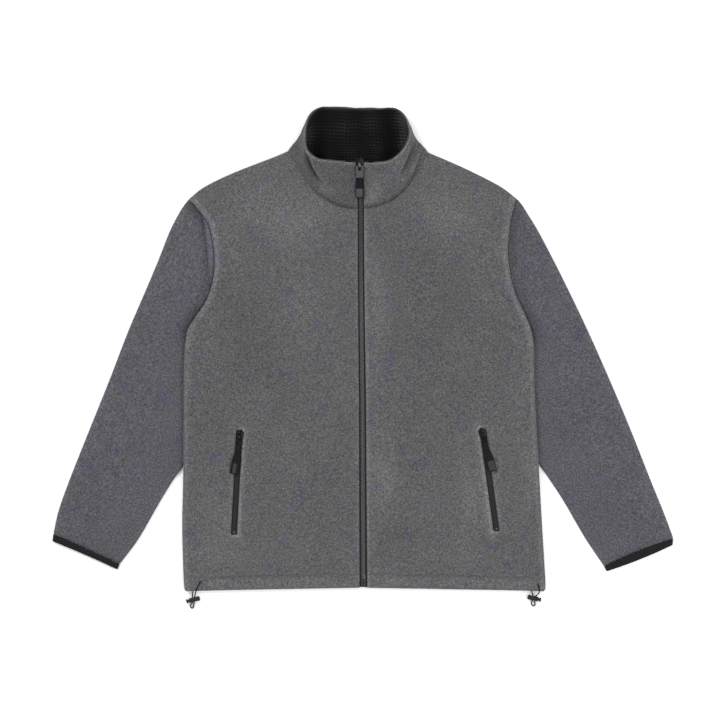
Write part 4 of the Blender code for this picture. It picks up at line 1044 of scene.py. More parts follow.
def window_half(run, long):
    """Half width of a pocket's window at a distance down it, its corners rounded."""
    inset = np.clip(WINDOW_CORNER - np.minimum(run, long - run), 0, WINDOW_CORNER)
    return WINDOW_HALF - WINDOW_CORNER + np.sqrt(WINDOW_CORNER**2 - inset**2)


def window_gap(points, side):
    """Distance of points from a pocket's window, which is negative inside it."""
    top, long, down, out = pocket_frame(side)
    run, off = (points - top) @ down, (points - top) @ out
    a = np.abs(run - long / 2) - long / 2 + WINDOW_CORNER
    b = np.abs(off) - WINDOW_HALF + WINDOW_CORNER
    outside = np.hypot(np.maximum(a, 0), np.maximum(b, 0))
    return outside + np.minimum(np.maximum(a, b), 0) - WINDOW_CORNER


def crossing(off):
    """Place in a row where its distances from a line pass through zero."""
    step = 1 if off[0] < off[-1] else -1
    return np.interp(0, off[::step], np.arange(len(off))[::step])


def front_grid(side):
    """Fine rows of points over a front, its columns running beside the pocket's window."""
    top, long, down, out = pocket_frame(side)
    across = np.linspace(0, 1, SAMPLES)
    tries = np.linspace(0, 1, 4 * SAMPLES - 3)
    rows = front_rows(side, across, tries)
    place = np.array([crossing(o) for o in (rows - top) @ out])
    run = np.array([[np.interp(p, np.arange(SAMPLES), row[:, k]) for k in (0, 1)]
                    for p, row in zip(place, rows)])
    run = (run - top) @ down
    total = lengths(SIDE_EDGE[side])[-1]
    marks = [long + 3, *(long - np.array(WINDOW_ROWS)), *WINDOW_ROWS[::-1], -3]
    ups = np.interp(-np.array(marks), -run, tries)
    plain = spaced(total, ROW_STEP, (0, 0.5, 1.2, 2.1, 3.3, 5), rolled(FOLD_REACH, 6)) / total
    far_enough = np.abs(plain[:, None] - ups[None]).min(1) * total > 1.4
    far_enough[:6] = True
    ups = np.unique(np.concatenate([plain[far_enough], ups]))
    rows = front_rows(side, across, ups)
    grid, open_rows = [], []
    lip = list(LIP_COLUMNS)
    for row in rows:
        p = crossing((row - top) @ out)
        run_row = lengths(row)
        centre = np.interp(p, np.arange(SAMPLES), run_row)
        spot = np.array([np.interp(centre, run_row, row[:, k]) for k in (0, 1)])
        down_it = float((spot - top) @ down)
        open_rows.append(down_it)
        half = float(window_half(np.clip(down_it, 0, long), long))
        near, far = centre - half, run_row[-1] - centre - half
        zones = [counted(near, FRONT_COLUMNS[0], lip, lip),
                 near + np.linspace(0, 2 * half, WINDOW_CELLS + 1)[1:-1],
                 centre + half + counted(far, FRONT_COLUMNS[1], lip, rolled(FOLD_REACH, 6))]
        grid.append(fitted(row, np.concatenate(zones)))
    grid, down_it = np.array(grid), np.array(open_rows)
    first = len(lip) * 2 + FRONT_COLUMNS[0] - 3
    in_window = (down_it < long + 0.05) & (down_it > -0.05)
    inside = in_window[:-1] & in_window[1:]
    keep = np.ones((len(grid) - 1, grid.shape[1] - 1), bool)
    keep[inside, first : first + WINDOW_CELLS] = False
    return grid, keep


def counted(length, count, start, end):
    """Places along a length: close together at both ends, and a set number between."""
    middle = np.linspace(start[-1], length - end[-1], count)
    return np.concatenate([start[:-1], middle, [length - e for e in end[-2::-1]]])


# Relief of the fronts in mm, and the painted light (+) and shade (-) in their colour there
CREASE_SHADE = 0.03
HEM_WANDER = (160, 2.0)
HEM_GROOVE = (0.85, 1.9)
HEM_PUFF = (0.55, 0.2)
HEM_PUFF_FADES = (5, 14, 7)
PUCKER = (0.14, 5.3)
HEM_SHADES = {"puff": 0.2, "groove": -0.16, "over": 0.14, "edge": 0.4}
ZIP_WANDER = (140, 5.0)
ZIP_GROOVE = (0.4, 1.3)
ZIP_BAND = (0.3, 0.12)
ZIP_BAND_SHADE = {"left": 0.12, "right": 0.3}
ZIP_EDGE_SHADE = {"left": 0.1, "right": 0.25}
LIP = (2.6, 2.2)
LIP_HEIGHT = (0.25, 0.35)
LIP_GROOVE = (0.35, 6.4, 1.3)
LIP_SHADE = (0.05, 0.35)
POCKET_SHADE = (0.42, 0.18)
POCKET_SHADE_WIDE = {"left": 4.5, "right": 8.0}
ARMHOLE_RIM = 0.55
ARMHOLE_SHADE = 0.5
SIDE_SHADE = (0.34, 0.3)
ROUNDED = {
    # reach and drop where a turned edge rounds over
    "zip": (2.8, 1.3),
    "window": (2.4, 1.2),
    "hem": (3.2, 1.7),
    "neck": (3.0, 0.5),
    "throat": (5.0, 1.2),
    "back": (3.0, 1.2),
    "nape": (3.0, 0.9),
    "sleeve": (4.0, 1.5),
    "sleeve_end": (3.0, 0.9),
    "cuff": (2.4, 1.2),
    "cuff_seam": (1.8, 0.9),
    "collar_seam": (3.4, 0.7),
    "collar_end": (2.6, 1.2),
}
THROAT = (55, 45)
THROAT_SHADE = 0.25


def centred(x):
    """1 at the throat, fading out towards the shoulders."""
    return 1 - smooth((np.abs(x) - THROAT[0]) / THROAT[1])


def front_form(points, side):
    """Relief of a front over its plain form in mm, and its painted light and shade with the nap's
    tone, by place.
    """
    height = relief(points, CREASES)
    # Broad strokes of nap tone and painted light and shade; creases painted darker
    tone_and_painted_light = relief(points, NAP_AND_LIGHT_STROKES) + CREASE_SHADE * height
    # Hem: a stitched line, and the drawcord's channel below it, a little puffed and puckered
    above = points[:, 1] - hem_y(points[:, 0], side)
    wander = uneven(points[:, 0], *HEM_WANDER)
    stitched = HEM_STITCH * (1 + 0.015 * wander)
    height -= HEM_GROOVE[0] * bell(above - stitched, HEM_GROOVE[1]) * (1 + 0.35 * wander)
    grows, fades, over = HEM_PUFF_FADES
    puff = smooth(above / grows) * (1 - smooth((above - fades) / over))
    pucker = np.sin(points[:, 0] / PUCKER[1] + 2 * wander) * bell(above - stitched + 4, 5)
    height += puff * (HEM_PUFF[0] + HEM_PUFF[1] * wander) + PUCKER[0] * pucker
    # Painted light on the puffed channel and along the hem's edge, painted shade in the stitched
    # groove
    tone_and_painted_light += HEM_SHADES["puff"] * puff + HEM_SHADES["groove"] * bell(above - stitched, 1.5)
    tone_and_painted_light += (HEM_SHADES["over"] * bell(above - stitched - 3.2, 1.6)
            + HEM_SHADES["edge"] * smooth(1 - above / 2.6))
    # Zip: the edge is turned under and stitched down
    off = np.abs(points[:, 0] - zip_x(points[:, 1]))
    off = off - np.interp(points[:, 1], ZIP_ROWS[:, 0], ZIP_ROWS[:, 2])
    wander = uneven(points[:, 1], ZIP_WANDER[0], ZIP_WANDER[1] + SIDES[side])
    height -= ZIP_GROOVE[0] * bell(off - ZIP_STITCH, ZIP_GROOVE[1]) * (1 + 0.4 * wander)
    band = bell(off - 3.0, 2.6)
    height += band * (ZIP_BAND[0] + ZIP_BAND[1] * wander)
    # Painted highlight on the raised band and the edge beside the zip, stronger on the right
    tone_and_painted_light += band * ZIP_BAND_SHADE[side]
    tone_and_painted_light += ZIP_EDGE_SHADE[side] * bell(off - 1.4, 1.3)
    # Pocket: the window's lips are turned in and stitched, and stand a little on the inner side
    gap = window_gap(points, side)
    top, _, _, out = pocket_frame(side)
    inner = smooth(0.5 - ((points - top) @ out) / 8)
    lip = bell(gap - LIP[0], LIP[1])
    height += lip * (LIP_HEIGHT[0] + LIP_HEIGHT[1] * inner)
    height -= LIP_GROOVE[0] * bell(gap - LIP_GROOVE[1], LIP_GROOVE[2])
    # Painted highlight on the lips and around the window, most on its inner side
    tone_and_painted_light += lip * (LIP_SHADE[0] + LIP_SHADE[1] * inner)
    tone_and_painted_light += POCKET_SHADE[0] * inner * bell(gap - 3, POCKET_SHADE_WIDE[side]) * (gap > 0)
    tone_and_painted_light += POCKET_SHADE[1] * (1 - inner) * bell(gap, 9)
    # Armhole and side: the seam allowance under the edge lifts it
    to_armhole = distance(points, ARMHOLE_LINE[side])
    height += bell(to_armhole - 4.2, 3.0) * ARMHOLE_RIM
    # Painted highlight along the armhole's rim
    tone_and_painted_light += ARMHOLE_SHADE * bell(to_armhole - 5.0, 4.5) * smooth((points[:, 1] + 90) / 170)
    to_side = distance(points, SEAM_LINE[side])
    # Painted highlight along the side's rim and its folded edge
    tone_and_painted_light += SIDE_SHADE[0] * bell(to_side - 4.5, 3.5) + SIDE_SHADE[1] * smooth(1 - to_side / 1.6)
    height -= over_edge(off, *ROUNDED["zip"]) + over_edge(np.maximum(gap, 0), *ROUNDED["window"])
    height -= over_edge(above, *ROUNDED["hem"])
    to_neck = distance(points, NECKLINES)
    throat = centred(points[:, 0])
    height -= over_edge(to_neck, *ROUNDED["neck"]) + throat * over_edge(to_neck, *ROUNDED["throat"])
    # Painted shade along the neckline at the throat
    tone_and_painted_light -= THROAT_SHADE * throat * bell(to_neck, 2.4)
    return height, tone_and_painted_light


def sew_front(side):
    grid, keep = front_grid(side)
    flat = grid.reshape(-1, 2)
    outer, inner = body_wall(flat, 1)
    height, tone_and_painted_light = front_form(flat, side)
    gap, _ = folded_edge(flat, FOLDS)
    fade = smooth(gap / 7)
    outer[:, 2] += height * fade
    inner[:, 2] += np.maximum(height, -0.9) * fade
    shape = (*grid.shape[:2], 3)
    piece = shell(f"shell_front_{side}", outer.reshape(shape), inner.reshape(shape), "fleece",
                  keep=keep, tone_and_painted_light=tone_and_painted_light)
    worn(piece, "jacket", "fleece", f"front_{side}")
    declare(outer.reshape(shape))


def declare(outer):
    """Works out this cloth's width, length and area laid flat, and keeps none of them."""
    a, b, c, d = outer[:-1, :-1], outer[:-1, 1:], outer[1:, 1:], outer[1:, :-1]
    area = (np.linalg.norm(np.cross(b - a, d - a), axis=2)
            + np.linalg.norm(np.cross(b - c, d - c), axis=2)).sum() / 2 * 1e-6
    width = max(lengths(row)[-1] for row in outer[::8]) * MM
    length = max(lengths(outer[:, k])[-1] for k in range(0, outer.shape[1], 8)) * MM
    width = max(width, area / length * 1.001)


def back_grid():
    """Fine rows of points over the back, from hem to shoulders."""
    fold, tall = rolled(FOLD_REACH, 5), lengths(SIDE_EDGE["left"])[-1]
    up = spaced(tall, BACK_ROW_STEP, (0, 0.6, 1.6, 3.2), fold) / tall
    halves = {}
    for side, sign in SIDES.items():
        neck = lengths(NECK_LINE[side])[-1]
        hem = abs(SIDE_SEAM[side][0][0])
        collar = NECK_COLUMN * spaced(neck, BACK_COLUMN_STEPS[0], (), fold) / neck
        rest = spaced(hem, BACK_COLUMN_STEPS[1], (), fold) / hem
        across = np.concatenate([collar, rest[rest > NECK_COLUMN + 0.01]])
        half = NECK_BACK_LINE[NECK_BACK_LINE[:, 0] * sign > 1][::sign]
        middle_top = np.interp(0, NECK_BACK_LINE[:, 0], NECK_BACK_LINE[:, 1])
        top = top_edge(side, across, np.vstack([[[0.0, middle_top]], half]))
        bottom = hem_edge(side, 0.0, across)
        bottom[:, 1] += BACK_HEM_SHORTER * (1 - across**8)
        near = bottom[0] + (top[0] - bottom[0]) * up[:, None]
        halves[side] = patch(bottom, top, near, at(SIDE_EDGE[side], up), across, up)
    middle = (halves["left"][:, :1] + halves["right"][:, :1]) / 2
    return np.concatenate([halves["left"][:, :0:-1], middle, halves["right"][:, 1:]], axis=1)


BACK_HALF = 290
BACK_WANDER = (150, 7.0)
BACK_GROOVE = 0.8


def sew_back():
    grid = back_grid()
    flat = grid.reshape(-1, 2)
    outer, inner = body_wall(flat, -1)
    height = np.minimum(relief(flat * np.array([-1, 1]), CREASES), 0)
    above = flat[:, 1] - HEM_CENTRE_Y + HEM_SIDE_DROP * np.abs(flat[:, 0] / BACK_HALF) ** HEM_BEND
    wander = uneven(flat[:, 0], *BACK_WANDER)
    height -= BACK_GROOVE * bell(above - HEM_STITCH, HEM_GROOVE[1]) * (1 + 0.3 * wander)
    height -= over_edge(above, *ROUNDED["back"])
    to_neck = distance(flat, NECK_BACK_LINE)
    height -= over_edge(to_neck, *ROUNDED["nape"])
    gap, _ = folded_edge(flat, FOLDS)
    fade = smooth(gap / 8)
    outer[:, 2] -= height * fade
    inner[:, 2] -= height * fade * 0.6
    shape = (*grid.shape[:2], 3)
    # Painted light a little in from the folded edges
    tone_and_painted_light = 0.05 * bell(gap - 5, 3.5)
    piece = shell("shell_back", outer.reshape(shape), inner.reshape(shape), "fleece", tone_and_painted_light=tone_and_painted_light)
    worn(piece, "jacket", "fleece", "back")
    declare(outer.reshape(shape))


# Sleeves and cuffs


ARMHOLE_FRACTIONS = {}
for side_name in SIDES:
    armhole_length = lengths(ARMHOLE_LINE[side_name])[-1]
    edge_steps = roll_steps(FOLD_REACH, armhole_length)
    middle = [0.1, 0.21, 0.33, 0.45, 0.57, 0.69, 0.8, 0.9]
    ARMHOLE_FRACTIONS[side_name] = edge_steps + middle + [1 - f for f in reversed(edge_steps)]


def sleeve_seam(side):
    """Points of the sleeve's end: along the armhole, then under the body to the underarm."""
    fractions = [f for f in reversed(ARMHOLE_FRACTIONS[side]) if f >= SLEEVE_LEAVES_ARMHOLE]
    line = ARMHOLE_LINE[side]
    run = lengths(line) / lengths(line)[-1]
    ways = outward(line, SIDES[side])
    fine = np.linspace(1, fractions[-1], 60)
    normal = np.column_stack([np.interp(fine, run, ways[:, k]) for k in range(2)])
    seam = at(line, fine) + ARMHOLE_GAP * normal
    marks = [0, *(60 * (1 - f) / (1 - fractions[-1]) for f in fractions[3:])]
    underarm = np.array(SLEEVE_UNDER[side][0], float)
    hidden = seam[-1] + (underarm - seam[-1]) * np.array([0.35, 0.7, 1])[:, None]
    main = fitted(seam, [m / 60 * lengths(seam)[-1] for m in marks])
    return np.vstack([main, hidden]), np.vstack([seam, hidden])


def relaxed(grid):
    """Moves the inner points of a grid until its lines cross evenly, its four edges held."""
    grid = grid.copy()
    for _ in range(RELAX_ROUNDS):
        east, west = grid[1:-1, 2:], grid[1:-1, :-2]
        north, south = grid[2:, 1:-1], grid[:-2, 1:-1]
        u, v = (east - west) / 2, (north - south) / 2
        a, b, c = ((p * q).sum(2, keepdims=True) for p, q in ((v, v), (u, v), (u, u)))
        skew = (grid[2:, 2:] - grid[2:, :-2] - grid[:-2, 2:] + grid[:-2, :-2]) / 4
        pulled = a * (east + west) + c * (north + south) - 2 * b * skew
        grid[1:-1, 1:-1] = pulled / (2 * a + 2 * c)
    return grid


def bowed(start, end, steps, bow):
    line = start + (end - start) * steps[:, None]
    return line + np.array([0, 4 * bow]) * (steps * (1 - steps))[:, None]


def fold_row(row):
    """The row with points added round the folds at its two ends."""
    added = []
    for end, inner in ((row[0], row[1]), (row[-1], row[-2])):
        way = (inner - end) / np.linalg.norm(inner - end)
        room = min(SLEEVE_FOLD_REACH, np.linalg.norm(inner - end) * 0.92)
        added.append([end + way * d for d in rolled(room, 5)[1:]])
    return np.vstack([row[:1], added[0], row[1:-1], added[1][::-1], row[-1:]])


def sleeve_grid(side):
    """Fine rows of points over a sleeve, from its seam at the armhole to its end at the cuff."""
    seam, fine_seam = sleeve_seam(side)
    top, under = through([seam[0], *SLEEVE_TOP[side]]), through(SLEEVE_UNDER[side])
    across = lengths(seam) / lengths(seam)[-1]
    bow = next(row[5] for row in CUFFS if row[0] == side)
    rings = np.array(SLEEVE_RINGS)
    grid = patch(seam, bowed(top[-1], under[-1], across, bow), at(top, rings), at(under, rings),
                 across, rings)
    grid = smoother(smoother(relaxed(grid), 0, 7), 1, 4)
    exact = fitted(fine_seam, lengths(grid[0]) / lengths(grid[0])[-1] * lengths(fine_seam)[-1])
    fix = exact - grid[0]
    for k in range(6):
        grid[k] += fix * (1 - k / 6)
    ring = np.linspace(0, 1, len(grid))
    places = np.interp(ring, np.linspace(0, 1, len(rings)), rings)
    for column, line in ((0, top), (-1, under)):
        grid[:, column] = at(line, places)
    close = np.concatenate([np.linspace(0, 6, 31)[:-1], np.arange(6, len(grid))])
    low = np.minimum(close.astype(int), len(grid) - 2)
    t = (close - low)[:, None, None]
    grid = grid[low] * (1 - t) + grid[low + 1] * t
    return np.array([fold_row(row) for row in grid]), top, under


def tube(name, grid, folds, height, thickness, finish, form=None):
    """A tube pressed flat over a grid of points in the plane, folded at its two long edges."""
    flat = grid.reshape(-1, 2)
    gap, _ = folded_edge(flat, folds)
    along = np.gradient(grid, axis=1)
    along /= np.linalg.norm(along, axis=2)[:, :, None]
    along[:, : grid.shape[1] // 2] *= -1
    way = along.reshape(-1, 2)
    lean = 1 - np.minimum(gap, SLEEVE_FOLD_REACH) / SLEEVE_FOLD_REACH
    rise = np.sqrt(1 - lean**2)
    skins, tones_and_lights = [], []
    for face in (1, -1):
        outer = np.column_stack([flat, height / 2 * (1 + face * rise)])
        normal = np.column_stack([way * lean[:, None], face * rise])
        change, tone_and_painted_light = form(flat, face, gap) if form else (np.zeros(len(flat)), np.zeros(len(flat)))
        outer[:, 2] += change * rise**2
        shape = (*grid.shape[:2], 3)
        skins.append([skin.reshape(shape) for skin in (outer, outer - thickness * normal)])
        tones_and_lights.append(tone_and_painted_light.reshape(grid.shape[:2]))
    loops = [np.concatenate([over, under[:, -2:0:-1]], axis=1) for over, under in zip(*skins)]
    tone_and_painted_light = np.concatenate([tones_and_lights[0], tones_and_lights[1][:, -2:0:-1]], axis=1)
    return shell(name, *loops, finish, closed=True, tone_and_painted_light=tone_and_painted_light), loops[0]


# Sleeves in mm and their painted light and shade: creases' top, painted shade by the seam, fold and
# gathers at head and cuff
RIDGE_TOP = {1: 0.4, -1: 0.0}
SEAM_SHADE = (0.3, 26)
HEAD_CREASE = (1.6, 1.7)
HEAD_SHADES = {"crease": 0.35, "beyond": 0.25, "inside": 0.5}
HEAD_RISE = (0.7, 4.4, 2.4)
GATHER = (0.16, 2.9, 14)
FOLD_SHADE = (0.12, 4.5, 3.0)
CUFF_GATHER = (0.16, 1.9)
CUFF_GROOVE = (0.55, 0.32, 0.9)
CUFF_PUFF = 0.35


def sew_sleeves():
    for side, sign in SIDES.items():
        grid, top, under = sleeve_grid(side)
        to_under = distance(grid.reshape(-1, 2), under)
        thin, full = UNDERARM_REACH
        grown = smooth((to_under - thin) / full)
        height = UNDERARM_HEIGHT + (SLEEVE_HEIGHT - UNDERARM_HEIGHT) * grown
        folds = [(top, outward(top, sign)), (under, outward(under, -sign))]
        end = grid[-1, [0, -1]]
        ridge = through(HEAD_RIDGE, 1.0)[::-1]
        to_ridge = distance(ridge, ARMHOLE_LINE[side])

        def form(points, face, gap):
            change = relief(points if face > 0 else points + UNDERSIDE_SHIFT, SLEEVE_CREASES)
            # Creases painted darker
            tone_and_painted_light = CREASE_SHADE * change
            change = np.minimum(change, RIDGE_TOP[face])
            to_seam = distance(points, ARMHOLE_LINE[side])
            start, full = HEAD_FADES
            head = smooth((points[:, 1] - start) / (full - start))
            # Painted shade on the sleeve beside the armhole seam
            shade, reach = SEAM_SHADE
            tone_and_painted_light -= shade * smooth(1 - to_seam / reach) * smooth((points[:, 1] + 40) / 80)
            if side == "left":
                line = through(HEAD_RIDGE, 1.0)
                to_fold = distance(points, line)
                beyond = smooth((to_seam - np.interp(points[:, 1], line[::-1, 1], to_ridge)) / 1.2)
                crease = head * bell(to_fold, HEAD_CREASE[1])
                change = change - HEAD_CREASE[0] * crease
                # Painted shade in the head's crease and beyond it, painted light between it and the
                # seam
                tone_and_painted_light -= (HEAD_SHADES["crease"] * crease
                        + HEAD_SHADES["beyond"] * head * beyond * bell(to_fold, 8))
                tone_and_painted_light += HEAD_SHADES["inside"] * head * (1 - beyond) * smooth(to_seam / 3)
                change += HEAD_RISE[0] * head * bell(to_seam - HEAD_RISE[1], HEAD_RISE[2])
            change -= over_edge(to_seam, *ROUNDED["sleeve"])
            cuff = np.linalg.norm(end[1] - end[0])
            across = (end[1] - end[0]) / cuff
            from_cuff = np.abs((points - end[0]) @ np.array([-across[1], across[0]]))
            along = (points - end[0]) @ across
            change -= over_edge(from_cuff, *ROUNDED["sleeve_end"])
            rise, pitch, reach = GATHER
            gather = bell(from_cuff, reach) * np.sin(along / pitch + uneven(along, 60, 3.0))
            change += rise * gather
            # Painted highlight a little in from the folded edges
            tone_and_painted_light += FOLD_SHADE[0] * bell(gap - FOLD_SHADE[1], FOLD_SHADE[2])
            return change * face, tone_and_painted_light

        piece, loop = tube(f"shell_sleeve_{side}", grid, folds, height, FLEECE,
                           "sleeve_fleece", form)
        worn(piece, "jacket", "sleeve_fleece", f"sleeve_{side}")
        declare(loop)
        sew_cuff(side, top[-1], under[-1])


def sew_cuff(side, top_end, under_end):
    """The knitted band that binds the sleeve's end, slightly gathered by its own stretch."""
    _, top_x, top_y, under_x, under_y, sleeve_bow, end_bow = next(r for r in CUFFS if r[0] == side)
    across = np.linspace(0, 1, SAMPLES)
    start = bowed(top_end, under_end, across, sleeve_bow)
    end = bowed(np.array([top_x, top_y]), np.array([under_x, under_y]), across, end_bow)
    way = end - start
    start = start + way / np.linalg.norm(way, axis=1)[:, None] * 2 * GAP
    steps = np.array([0, 0.06, 0.16, 0.3, 0.5, 0.7, 0.84, 0.94, 1])
    grid = start[None] + (end - start)[None] * steps[:, None, None]
    grid = np.array([fold_row(row) for row in grid])
    folds = [(grid[:, 0], outward(grid[:, 0], SIDES[side])),
             (grid[:, -1], outward(grid[:, -1], -SIDES[side]))]
    wide = np.linalg.norm(end[0] - end[-1])
    axis = (end[-1] - end[0]) / wide
    down = np.array([-axis[1], axis[0]])

    def form(points, face, gap):
        along, off = (points - start[0]) @ axis, np.abs((points - start[0]) @ down)
        deep = np.linalg.norm(end[SAMPLES // 2] - start[SAMPLES // 2])
        wander = uneven(along, 70, 4.0)
        rise, pitch = CUFF_GATHER
        change = rise * np.sin(along / pitch + wander) * bell(off - 1.5, 3.0)
        depth, place, width = CUFF_GROOVE
        change -= depth * bell(off - place * deep, width) - CUFF_PUFF
        change -= (over_edge(np.abs(deep - off), *ROUNDED["cuff"])
                   + over_edge(off, *ROUNDED["cuff_seam"]))
        return change * face, np.zeros(len(points))

    piece, loop = tube(f"cuff_band_{side}", grid, folds, CUFF_HEIGHT, CUFF_WALL, "binding", form)
    worn(piece, "jacket", "cuff_binding", f"cuff_{side}")
    declare(loop)


# Collar


def columns_of(side):
    """Fractions of a front's half width that reach its neckline."""
    neck_length = lengths(NECK_LINE[side])[-1]
    ends = [1 - f for f in reversed(roll_steps(FOLD_REACH, neck_length))]
    return np.array([0, 0.17, 0.34, 0.5, 0.66, 0.82, *ends])


def neck_seam():
    """Outer points of the neck seam from the left front round the back, with the wall's normals."""
    points, faces = [], []
    for side, order in (("left", 1), ("right", -1)):
        points.append(at(NECK_LINE[side], columns_of(side))[::order])
        faces.append(np.ones(len(points[-1])))
    edge = roll_steps(FOLD_REACH, lengths(NECK_BACK_LINE)[-1])[1:]
    middle = list(np.linspace(0.09, 0.91, 15))
    back = at(NECK_BACK_LINE, edge + middle + [1 - f for f in reversed(edge)])
    ring = np.vstack([points[0], back, points[1]])
    face = np.concatenate([faces[0], -np.ones(len(back)), faces[1]])
    upper, upper_inner = body_wall(ring, 1, 1)
    lower, lower_inner = body_wall(ring, -1, 1)
    pick = (face > 0)[:, None]
    outer = np.where(pick, upper, lower)
    return outer, outer - np.where(pick, upper_inner, lower_inner)


def faces_up(normal):
    """1 where the collar faces up, 0 where it faces down."""
    return smooth((normal[:, :, 2] + 0.1) / 0.3)


def collar_grid():
    """Outer points of the collar, its unit normals and its painted light and shade, rows from neck
    seam to rim.
    """
    base, base_normal = neck_seam()
    rim_line = through(COLLAR_RIM)
    rim = at(rim_line, lengths(base) / lengths(base)[-1])
    toward = rim - base
    base = base - toward / np.linalg.norm(toward, axis=1)[:, None] * 0.4
    rows = np.array(COLLAR_ROWS)[:, None, None]
    grid = base[None] * (1 - rows) + rim[None] * rows
    normal = np.cross(np.gradient(grid, axis=0), np.gradient(grid, axis=1))
    normal /= np.linalg.norm(normal, axis=2)[:, :, None]
    if normal[2, 0, 2] < 0:
        normal = -normal
    normal[0] = base_normal
    normal[1] = normal[1] * 0.6 + base_normal * 0.4
    normal[1] /= np.linalg.norm(normal[1], axis=1)[:, None]
    from_end = np.minimum(lengths(rim), lengths(rim)[-1] - lengths(rim))
    ends = smooth((from_end - 12) / 50)[None, :, None]
    to_right = bell(base[:, 0].max() - base[:, 0], COLLAR_PINCH_WIDTH)
    to_left = bell(base[:, 0] - base[:, 0].min(), COLLAR_PINCH_WIDTH)
    arch = np.sin(np.pi * rows)
    drawn = (COLLAR_PINCH + COLLAR_DRAWN[1]) * to_right + COLLAR_DRAWN[0] * to_left
    grid = grid + normal * (arch * COLLAR_SWELL * ends - arch**2 * drawn[None, :, None])
    grid, normal = (smoother(smoother(g, 0, 7), 1, 8) for g in (grid, normal))
    normal = normal / np.linalg.norm(normal, axis=2, keepdims=True)
    flat = grid.reshape(-1, 3)[:, :2]
    laps = np.array([lapped(flat, *lap) for lap in COLLAR_LAPS]).sum(0)
    front = faces_up(normal)
    shape = (relief(flat, COLLAR_CREASES) + laps[0]).reshape(front.shape) * front
    # Painted shade in the laps and creases, painted light on the laps' lips
    shade = laps[1].reshape(front.shape) * front + 0.05 * shape
    return grid + normal * shape[:, :, None], normal, shade


# Painted light and shade on the collar, and its band below the rim: place, half width, height
COLLAR_SHADES = {"left": 0.2, "right": 0.1, "seam": 0.4, "rim": 0.4, "lip": 0.5, "end": 0.35}
RIM_BAND = (3.2, 2.4, 0.45)
RIM_GROOVE = (7.2, 1.4, 0.25)


def sew_collar():
    outer, normal, tone_and_painted_light = collar_grid()
    up = np.interp(np.linspace(0, 1, len(outer)), np.linspace(0, 1, len(COLLAR_ROWS)), COLLAR_ROWS)
    tall = np.linalg.norm(outer[-1] - outer[0], axis=1)
    from_rim, from_seam = (1 - up)[:, None] * tall, up[:, None] * tall
    run = lengths(outer[len(outer) // 2])[None]
    from_end = np.minimum(run, run[0, -1] - run)
    front = faces_up(normal)
    wander = uneven(run, 110, 3.0)
    throat = front * centred(outer[:, :, 0])
    tone = COLLAR_SHADES
    # Painted shade on the collar's upward faces and at the throat seam, painted highlights along
    # the rim, lip, ends and in strokes
    tone_and_painted_light -= front * np.where(outer[:, :, 0] < 0, tone["left"], tone["right"])
    tone_and_painted_light -= tone["seam"] * throat * bell(from_seam, 5.5)
    tone_and_painted_light += (tone["rim"] + 0.12 * wander) * bell(from_rim, 4.0)
    tone_and_painted_light += tone["lip"] * bell(from_rim, 1.2) + tone["end"] * bell(from_end, 2.4)
    tone_and_painted_light += relief(outer[:, :, :2].reshape(-1, 2), COLLAR_HIGHLIGHT_STROKES).reshape(front.shape) * front
    shape = (-over_edge(from_seam, *ROUNDED["collar_seam"])
             - over_edge(from_end, *ROUNDED["collar_end"]))
    shape -= throat * over_edge(from_seam, *ROUNDED["throat"])
    shape += RIM_BAND[2] * bell(from_rim - RIM_BAND[0], RIM_BAND[1]) * (1 + 0.4 * wander)
    shape -= RIM_GROOVE[2] * bell(from_rim - RIM_GROOVE[0], RIM_GROOVE[1])
    skin = outer + normal * shape[:, :, None]
    inner = outer - normal * COLLAR_FLEECE
    piece = shell("shell_collar", skin, inner, "fleece", tone_and_painted_light=tone_and_painted_light)
    worn(piece, "jacket", "fleece", "collar")
    declare(skin)
    sew_collar_lining(outer, normal)


# The knit's depth in mm and in shade, and how far it rises over the rim: plain, and its ridges
KNIT_DEPTH = 0.75
KNIT_SHADE = {"collar": -0.45, "neck": -0.44}
KNIT_OVER_RIM = ((0.6, 1.7), (0.5, 1.4))
SIDE_RIBS = 0.75


def waffle(along, up):
    """Relief of the waffle knit: ridges round square pits, in mm."""
    along = along + 0.7 * uneven(up, 46, 6.0) + 0.5 * uneven(along, 60, 2.0)
    up = up + 0.6 * uneven(along, 75, 4.0)
    ribs = 0.5 + 0.5 * np.cos(2 * np.pi * along / WAFFLE_WIDE)
    rows = 0.5 + 0.5 * np.cos(2 * np.pi * up / WAFFLE_TALL)
    loose = 0.75 + 0.25 * np.sin(along / 17 + up / 9) * np.cos(along / 11 - up / 13)
    return np.maximum(rows**1.5, SIDE_RIBS * ribs**1.5) * loose


